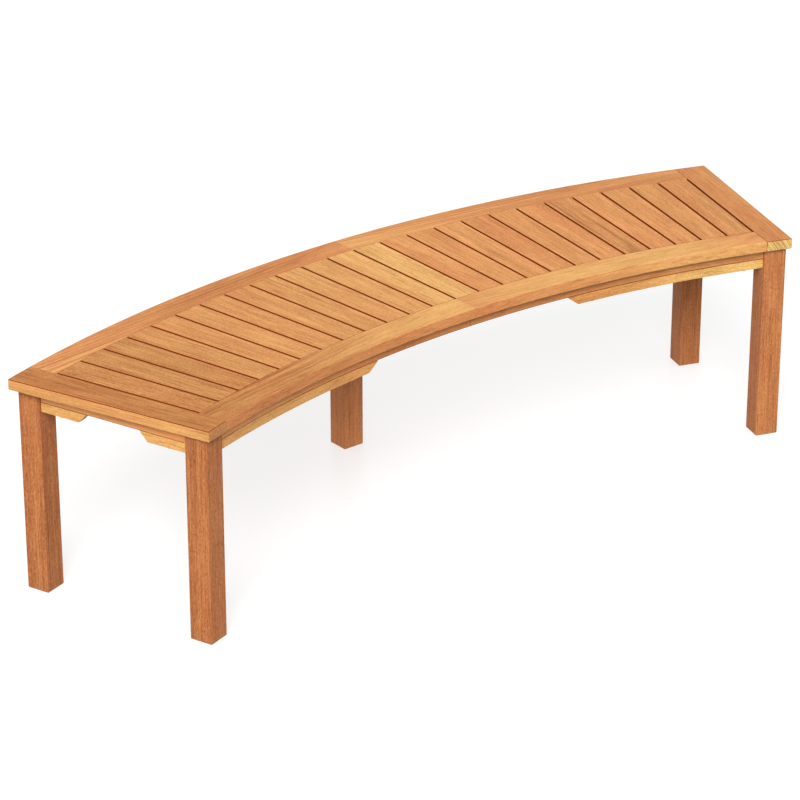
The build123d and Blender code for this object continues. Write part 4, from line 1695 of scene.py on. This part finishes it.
@dataclass
class Underframe:
    """Aprons, cross rail and cleats under the seat.

    Attributes:
        shop: Workshop that makes the pieces.
        ease: Easing of the long edges.
        joint_ease: Easing of the ends.
        joint_edge_shade: Share of painted shade on the aprons' lower edges, a dark line where shade falls in
            the joint with the cleats.
        side_cleat_length: Length of the long cleats.
        side_cleat_bevel: Length of their slope.
        short_cleat_length: Length of the short cleats.
        short_cleat_bevel: Length of their slope.
        cross_rail_width: Width of the cross rail.
        arc_rings: Rings of points along a curved bar.
        short_rings: Rings of points along a straight bar.
        marked: Looks of the bars whose look is chosen, with painted light on the left inner apron; the others
            have random ones.
    """

    shop: Workshop
    ease: float = 1.6 * MM
    joint_ease: float = 0.4 * MM
    # Painted shade on the aprons' lower eased edges, above the cleats.
    joint_edge_shade: float = 1.0
    side_cleat_length: float = 0.466
    side_cleat_bevel: float = 0.026
    short_cleat_length: float = 0.107
    short_cleat_bevel: float = 0.018
    cross_rail_width: float = 0.060
    arc_rings: int = 48
    short_rings: int = 16
    marked: dict[str, Look] = field(
        default_factory=lambda: {
            # Painted light: the left inner apron is much lighter at its left end, cancelling the shade under
            # the rail's overhang.
            "inner_apron_left": Look((2.3, 2.2, 1.5, 0.5, 0.4), (0.3, 0.5, 0.8)),
            "inner_apron_right": Look((0.4, 0.1, -0.2), (0.6, 0.2, -0.3, -1.1)),
            "end_apron_left": Look((2.1,), (0.4,)),
            "inner_side_cleat_left": Look((0.3,), (0.2, 0.4)),
            "inner_side_cleat_right": Look((-0.2, 0.6), (0.9, -1.2)),
            "outer_end_cleat_left": Look((0.4,), (-0.4,)),
        }
    )

    def build(self) -> None:
        """Make every bar under the seat."""
        plan = self.shop.plan
        hairline = plan.joint_hairline
        half_leg = plan.leg_size / 2
        inner = plan.inner_apron_middle
        outer = plan.outer_apron_middle
        inner_end = plan.end_angle(inner) - hairline / inner
        outer_end = plan.end_angle(outer) - hairline / outer
        beside_leg = math.asin((half_leg + hairline) / outer)
        outer_face = outer + plan.apron_thickness / 2
        free_end = math.asin((half_leg + self.short_cleat_length) / outer_face)
        apron = (plan.apron_underside, plan.apron_height - hairline)
        cleat = (plan.cleat_underside, plan.cleat_height - hairline)
        for hand in Hand:
            word = hand.word
            self._arc(f"inner_apron_{word}", Slot.APRON, hand, inner, (hairline / inner, inner_end), apron)
            self._arc(f"outer_apron_{word}", Slot.APRON, hand, outer, (beside_leg, outer_end), apron)
            slopes = (self.side_cleat_bevel, 0.0)
            for side, radius, last in ((Side.INNER, inner, inner_end), (Side.OUTER, outer, outer_end)):
                face = radius + (plan.apron_thickness / 2) * side.value
                first = plan.end_angle(face) - self.side_cleat_length / face
                node = f"{side.word}_side_cleat_{word}"
                self._arc(node, Slot.CLEAT, hand, radius, (first, last), cleat, slopes)
            slopes = (0.0, self.short_cleat_bevel)
            self._arc(f"centre_cleat_{word}", Slot.CLEAT, hand, outer, (beside_leg, free_end), cleat, slopes)
            self._end_bars(hand, apron, cleat)
        self._cross_rail()

    def _arc(
        self,
        node: str,
        slot: Slot,
        hand: Hand,
        radius: float,
        angles: tuple[float, float],
        heights: tuple[float, float],
        slopes: tuple[float, float] = (0.0, 0.0),
    ) -> None:
        """Make a curved bar.

        Args:
            node: CAD node that it stands for.
            slot: Slot of its finish.
            hand: Half of the bench.
            radius: Radius of its middle line.
            angles: Its first and last angle on the right-hand half.
            heights: Height of its underside, and its own height.
            slopes: Length of the slope at its first and its last angle.
        """
        plan = self.shop.plan
        start, end = (hand.value * angle for angle in angles[:: hand.value])
        start_slope, end_slope = slopes[:: hand.value]
        sizes = {
            "Centre Y": plan.centre_y,
            "Middle Radius": radius,
            "Start Angle": start,
            "End Angle": end,
            "Width": plan.apron_thickness,
            "Height": heights[1],
            "Base": heights[0],
            "Concave Ease": self.ease,
            "Convex Ease": self.ease,
            "Start Ease": self.joint_ease,
            "End Ease": self.joint_ease,
            "Start Slope": start_slope,
            "End Slope": end_slope,
            "Rings": self.arc_rings,
        }
        piece = self.shop.shape(node + "_bar", self.shop.trees.arc, sizes, slot)
        chord = (start + end) / 2
        origin = plan.point(radius, chord, heights[0])
        self._finish(piece, node, slot, origin, plan.along(chord), Sawing.FLAT)

    def _straight(
        self,
        node: str,
        slot: Slot,
        start: Vector,
        angle: float,
        sizes: tuple[float, float, float],
        slopes: tuple[float, float] = (0.0, 0.0),
    ) -> None:
        """Make a level straight bar that runs outward at an angle.

        Args:
            node: CAD node that it stands for.
            slot: Slot of its finish.
            start: Middle of its first end's lower edge.
            angle: Angle of its direction.
            sizes: Width, length and height.
            slopes: Length of the slope at its first and its last end.
        """
        width, length, height = sizes
        values = {
            "Width": width,
            "Length": length,
            "Height": height,
            "Left Ease": self.ease,
            "Right Ease": self.ease,
            "Start Ease": self.joint_ease,
            "End Ease": self.joint_ease,
            "Start Slope": slopes[0],
            "End Slope": slopes[1],
            "Turn": -angle,
            "Place X": start.x,
            "Place Y": start.y,
            "Place Z": start.z,
            "Rings": self.short_rings,
        }
        piece = self.shop.shape(node + "_bar", self.shop.trees.bar, values, slot)
        self._finish(piece, node, slot, start, self.shop.plan.outward(angle), Sawing.RIFT)

    def _finish(
        self, piece: bpy.types.Object, node: str, slot: Slot, origin: Vector, along: Vector, sawing: Sawing
    ) -> None:
        """Lay the grain of a level bar and put it on the bench.

        Args:
            piece: The bar.
            node: CAD node that it stands for.
            slot: Slot of its finish.
            origin: A point of the bar.
            along: Direction of its grain.
            sawing: Way it was cut.
        """
        grain = BoardGrain(
            origin=origin,
            along=along,
            up=UP,
            sawing=sawing,
            look=self.marked.get(node) or self.shop.any_look(),
            # Aprons get painted shade on their lower eased edges.
            arris_shade=(self.joint_edge_shade, 0.0) if slot is Slot.APRON else (0.0, 0.0),
        )
        self.shop.lay_grain(piece, [grain])
        self.shop.hand_over(piece, slot, [node])

    def _end_bars(self, hand: Hand, apron: tuple[float, float], cleat: tuple[float, float]) -> None:
        """Make the apron and the two short cleats of an end.

        Args:
            hand: End of the bench.
            apron: Height of the apron's underside, and its own height.
            cleat: Height of the cleats' undersides, and their own height.
        """
        plan = self.shop.plan
        hairline = plan.joint_hairline
        angle = hand.value * plan.half_field
        first = plan.inner_leg_start + plan.leg_size + hairline
        last = plan.outer_leg_start - hairline
        width = plan.apron_thickness
        start = plan.end_point(hand, plan.end_apron_middle, first, apron[0])
        self._straight(f"end_apron_{hand.word}", Slot.APRON, start, angle, (width, last - first, apron[1]))
        sizes = (width, self.short_cleat_length - hairline, cleat[1])
        slope = self.short_cleat_bevel
        start = plan.end_point(hand, plan.end_apron_middle, first, cleat[0])
        self._straight(f"inner_end_cleat_{hand.word}", Slot.CLEAT, start, angle, sizes, (0.0, slope))
        start = plan.end_point(hand, plan.end_apron_middle, last - sizes[1], cleat[0])
        self._straight(f"outer_end_cleat_{hand.word}", Slot.CLEAT, start, angle, sizes, (slope, 0.0))

    def _cross_rail(self) -> None:
        """Make the rail that ties the middle of the seat to the centre leg."""
        plan = self.shop.plan
        first = plan.inner_apron_middle + plan.apron_thickness / 2 + plan.joint_hairline
        length = plan.centre_leg_start - plan.joint_hairline - first
        start = plan.point(first, 0.0, plan.apron_underside)
        sizes = (self.cross_rail_width, length, plan.apron_height - plan.joint_hairline)
        self._straight("cross_rail", Slot.APRON, start, 0.0, sizes)


@dataclass
class Legs:
    """Five square legs with eased arrises and feet.

    Attributes:
        shop: Workshop that makes the pieces.
        ease: Easing of the long edges.
        foot_ease: Easing of the feet.
        top_ease: Easing of the tops.
        rings: Rings of points along a leg.
        looks: Looks of the legs; the centre leg's high tone is painted light.
    """

    shop: Workshop
    ease: float = 2.5 * MM
    foot_ease: float = 2.0 * MM
    top_ease: float = 0.4 * MM
    rings: int = 12
    looks: dict[str, Look] = field(
        default_factory=lambda: {
            "inner_leg_left": Look((-0.2, 0.0), (0.0,)),
            "outer_leg_left": Look((-0.2, -0.1), (0.0, 0.2)),
            "inner_leg_right": Look((0.4, 0.2), (0.1, -0.1)),
            "outer_leg_right": Look((0.3, 0.0), (0.3, 0.1)),
            # Painted light: the centre leg is much lighter, offsetting the shade that the seat casts on it.
            "centre_leg": Look((3.1, 2.9), (1.3,)),
        }
    )

    def build(self) -> None:
        """Make every leg."""
        plan = self.shop.plan
        middle = plan.end_edge + plan.leg_size / 2
        for hand in Hand:
            angle = hand.value * plan.half_field
            for side, start in ((Side.INNER, plan.inner_leg_start), (Side.OUTER, plan.outer_leg_start)):
                place = plan.end_point(hand, middle, start + plan.leg_size / 2)
                self._leg(f"{side.word}_leg_{hand.word}", place, angle)
        self._leg("centre_leg", plan.point(plan.centre_leg_start + plan.leg_size / 2, 0.0), 0.0)

    def _leg(self, node: str, place: Vector, angle: float) -> None:
        """Make a leg.

        Args:
            node: CAD node that it stands for.
            place: Middle of its foot.
            angle: Angle of its faces.
        """
        plan = self.shop.plan
        corner = place + plan.outward(angle) * plan.leg_size / 2
        sizes = {
            "Width": plan.leg_size,
            "Length": plan.seat_underside - plan.joint_hairline,
            "Height": plan.leg_size,
            "Left Ease": self.ease,
            "Right Ease": self.ease,
            "Start Ease": self.foot_ease,
            "End Ease": self.top_ease,
            "Tilt": QUARTER_TURN,
            "Turn": -angle,
            "Place X": corner.x,
            "Place Y": corner.y,
            "Rings": self.rings,
        }
        piece = self.shop.shape(node + "_post", self.shop.trees.bar, sizes, Slot.LEG)
        grain = BoardGrain(
            origin=place, along=UP, up=plan.outward(angle), sawing=Sawing.RIFT, look=self.looks[node]
        )
        self.shop.lay_grain(piece, [grain])
        self.shop.hand_over(piece, Slot.LEG, [node])


@dataclass
class Fasteners:
    """Bolts, washers and screws under the seat, and the fittings inside the joints."""

    shop: Workshop
    head_diameter: float = 10.5 * MM
    head_height: float = 2.8 * MM
    head_ease: float = 2.0 * MM
    socket_across_flats: float = 4.0 * MM
    socket_depth: float = 1.8 * MM
    bolt_diameter: float = 6.0 * MM
    washer_diameter: float = 12.5 * MM
    washer_hole: float = 6.5 * MM
    washer_thickness: float = 1.0 * MM
    screw_head_diameter: float = 9.0 * MM
    screw_head_height: float = 4.0 * MM
    screw_diameter: float = 4.5 * MM
    screw_proud: float = 0.25 * MM
    recess_width: float = 1.4 * MM
    recess_depth: float = 1.8 * MM
    cluster_reach: float = 16.0 * MM
    hidden: dict[Slot, tuple[str, ...]] = field(
        default_factory=lambda: {
            Slot.DOWEL: ("rail_joint_dowels", "cleat_dowels", "cross_rail_dowels"),
            Slot.STEEL: ("threaded_inserts",),
        }
    )

    def build(self) -> None:
        """Make the fasteners that show, and finish the fittings that don't."""
        self._bolts()
        self._screws()
        for slot, nodes in self.hidden.items():
            for node in nodes:
                self._finish_node(node, slot)

    def _bolts(self) -> None:
        """Make the bolts and their washers."""
        head_bottom, bolt_tip = (corner.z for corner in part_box("cleat_bolts"))
        head_top = head_bottom + self.head_height
        sizes = {
            "Head Diameter": self.head_diameter,
            "Head Height": self.head_height,
            "Rim Ease": self.head_ease,
            "Socket Across Flats": self.socket_across_flats,
            "Socket Depth": self.socket_depth,
            "Shank Diameter": self.bolt_diameter,
            "Shank Length": bolt_tip - head_top,
        }
        self._set("cleat_bolt_set", self.shop.trees.bolt, sizes, head_top, "cleat_bolts")
        sizes = {
            "Outside Diameter": self.washer_diameter,
            "Hole Diameter": self.washer_hole,
            "Thickness": self.washer_thickness,
        }
        self._set("cleat_washer_set", self.shop.trees.washer, sizes, head_top, "cleat_washers")

    def _screws(self) -> None:
        """Make the screws, whose heads stand slightly proud."""
        head_face, screw_tip = (corner.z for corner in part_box("frame_screws"))
        sizes = {
            "Head Diameter": self.screw_head_diameter,
            "Head Height": self.screw_head_height,
            "Shank Diameter": self.screw_diameter,
            "Shank Length": screw_tip - head_face - self.screw_head_height,
            "Recess Width": self.recess_width,
            "Recess Depth": self.recess_depth,
        }
        height = head_face - self.screw_proud
        self._set("frame_screw_set", self.shop.trees.screw, sizes, height, "frame_screws")

    def _spots(self, node: str, height: float) -> list[Vector]:
        """Find where the fasteners of a CAD node stand.

        Args:
            node: CAD node with several upright fasteners.
            height: Height to give each place.

        Returns:
            One place for each fastener.
        """
        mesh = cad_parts[node].data
        points = np.array([vertex.co for vertex in mesh.vertices], float)[:, :2]
        places = []
        while len(points):
            near = np.linalg.norm(points - points[0], axis=1) < self.cluster_reach
            low, high = points[near].min(axis=0), points[near].max(axis=0)
            places.append(Vector((*((low + high) / 2), height)))
            points = points[~near]
        return places

    def _set(
        self, name: str, tree: bpy.types.GeometryNodeTree, sizes: dict[str, float], height: float, node: str
    ) -> None:
        """Make all fasteners of one kind, on base points at a height, in place of their CAD node."""
        piece = self.shop.shape(name, tree, sizes, Slot.STEEL, self._spots(node, height))
        self.shop.hand_over(piece, Slot.STEEL, [node])

    def _finish_node(self, node: str, slot: Slot) -> None:
        """Give a CAD node that stays its finish.

        Args:
            node: CAD node.
            slot: Slot of its finish.
        """
        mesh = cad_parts[node].data
        mesh.materials.clear()
        mesh.materials.append(self.shop.finishes.materials[slot])
        log.info("%s keeps its CAD shape", node)


@dataclass
class Studio:
    """Pale lit floor, soft light from the camera's side and the camera.

    Attributes:
        floor_reach: Distance from the middle of the floor to its edges.
        floor_glow: Strength of the floor's own light.
        floor_paint: Lightness of the floor's paint.
        floor_tint: Share of the paint's red, green and blue.
        floor_roughness: Roughness of the floor.
        floor_specular: Strength of its sheen.
        azimuth: Direction to the camera, from the front towards the right.
        elevation: Direction to the camera, above the floor.
        target: Point that the camera looks at.
        distance: Distance of the camera from that point.
        lens: Focal length, in millimetres.
        sky: Strength of the light from above.
        ground: Strength of the light from below.
        horizon: Height above and below the horizon in which one turns into the other.
        key_power: Power of the soft box, in watts.
        key_size: Diameter of the soft box.
        key_place: Place of the soft box, which faces the origin.
    """

    floor_reach: float = 15.0
    floor_glow: float = 0.66
    floor_paint: float = 0.34
    floor_tint: Colour = (1.0, 0.985, 0.98)
    floor_roughness: float = 0.3
    floor_specular: float = 0.2
    azimuth: float = math.radians(-38.984)
    elevation: float = math.radians(24.722)
    target: Vector = field(default_factory=lambda: Vector((-0.0830, -0.0254, 0.225)))
    distance: float = 6.7212
    lens: float = 149.41
    sky: float = 0.66
    ground: float = 0.42
    horizon: float = 0.15
    key_power: float = 4200.0
    key_size: float = 10.0
    key_place: Vector = field(default_factory=lambda: Vector((-10.5, -10.5, 11.5)))

    def build(self) -> None:
        """Make the floor, the light and the camera."""
        bpy.context.scene.view_settings.view_transform = "Standard"
        self._floor()
        self._sky()
        self._key()
        self._camera()

    def _floor(self) -> None:
        """Lay a wide, softly lit floor with a faint sheen, whose glow doesn't light the bench from below."""
        reach = self.floor_reach
        mesh = bpy.data.meshes.new("studio_floor")
        corners = [(-reach, -reach, 0.0), (reach, -reach, 0.0), (reach, reach, 0.0), (-reach, reach, 0.0)]
        mesh.from_pydata(corners, [], [(0, 1, 2, 3)])
        material, graph, shader = new_material("studio_floor_paint")
        feeds = {
            "Base Color": opaque(tuple(self.floor_paint * share for share in self.floor_tint)),
            "Roughness": self.floor_roughness,
            "Specular IOR Level": self.floor_specular,
            "Emission Color": WHITE,
            "Emission Strength": self.floor_glow,
        }
        graph.fill(shader, feeds)
        mesh.materials.append(material)
        floor = bpy.data.objects.new("studio_floor", mesh)
        floor.visible_diffuse = False
        bpy.context.scene.collection.objects.link(floor)

    def _sky(self) -> None:
        """Light the scene from a soft sky, with a dimmer half below the floor."""
        world = bpy.data.worlds.new("studio_sky")
        bpy.context.scene.world = world
        world.use_nodes = True
        world.node_tree.nodes.clear()
        graph = Graph(world.node_tree)
        _, _, rise = graph.parts(graph.wire("ShaderNodeTexCoord", output="Generated"))
        upper = graph.smooth(rise, -self.horizon, self.horizon)
        strength = upper * (self.sky - self.ground) + self.ground
        sky = graph.wire("ShaderNodeBackground", {"Color": WHITE, "Strength": strength})
        graph.add("ShaderNodeOutputWorld", {"Surface": sky})

    def _key(self) -> None:
        """Hang one large soft box behind the camera's left shoulder."""
        light = bpy.data.lights.new("studio_soft_box", "AREA")
        light.shape = "DISK"
        light.size = self.key_size
        light.energy = self.key_power
        lamp = bpy.data.objects.new("studio_soft_box", light)
        lamp.location = self.key_place
        lamp.rotation_euler = (-self.key_place).to_track_quat("-Z", "Y").to_euler()
        bpy.context.scene.collection.objects.link(lamp)

    def _camera(self) -> None:
        """Stand the camera where the photograph was taken from."""
        flat = math.cos(self.elevation)
        back = Vector(
            (math.sin(self.azimuth) * flat, -math.cos(self.azimuth) * flat, math.sin(self.elevation))
        )
        camera = bpy.data.cameras.new("studio_camera")
        camera.lens = self.lens
        stand = bpy.data.objects.new("studio_camera", camera)
        stand.location = self.target + back * self.distance
        stand.rotation_euler = (-back).to_track_quat("-Z", "Y").to_euler()
        bpy.context.scene.collection.objects.link(stand)
        bpy.context.scene.camera = stand


def main() -> None:
    """Build the bench's sub-assemblies in order, then the studio."""
    logging.basicConfig(level=logging.INFO, format="%(name)s: %(message)s")
    finishes = Finishes()
    finishes.build()
    shop = Workshop(SeatPlan(), ShapeTrees(), finishes)
    for assembly in (Seat(shop), Underframe(shop), Legs(shop), Fasteners(shop), Studio()):
        assembly.build()
        log.info("%s is done", type(assembly).__name__)


if __name__ == "__main__":
    main()
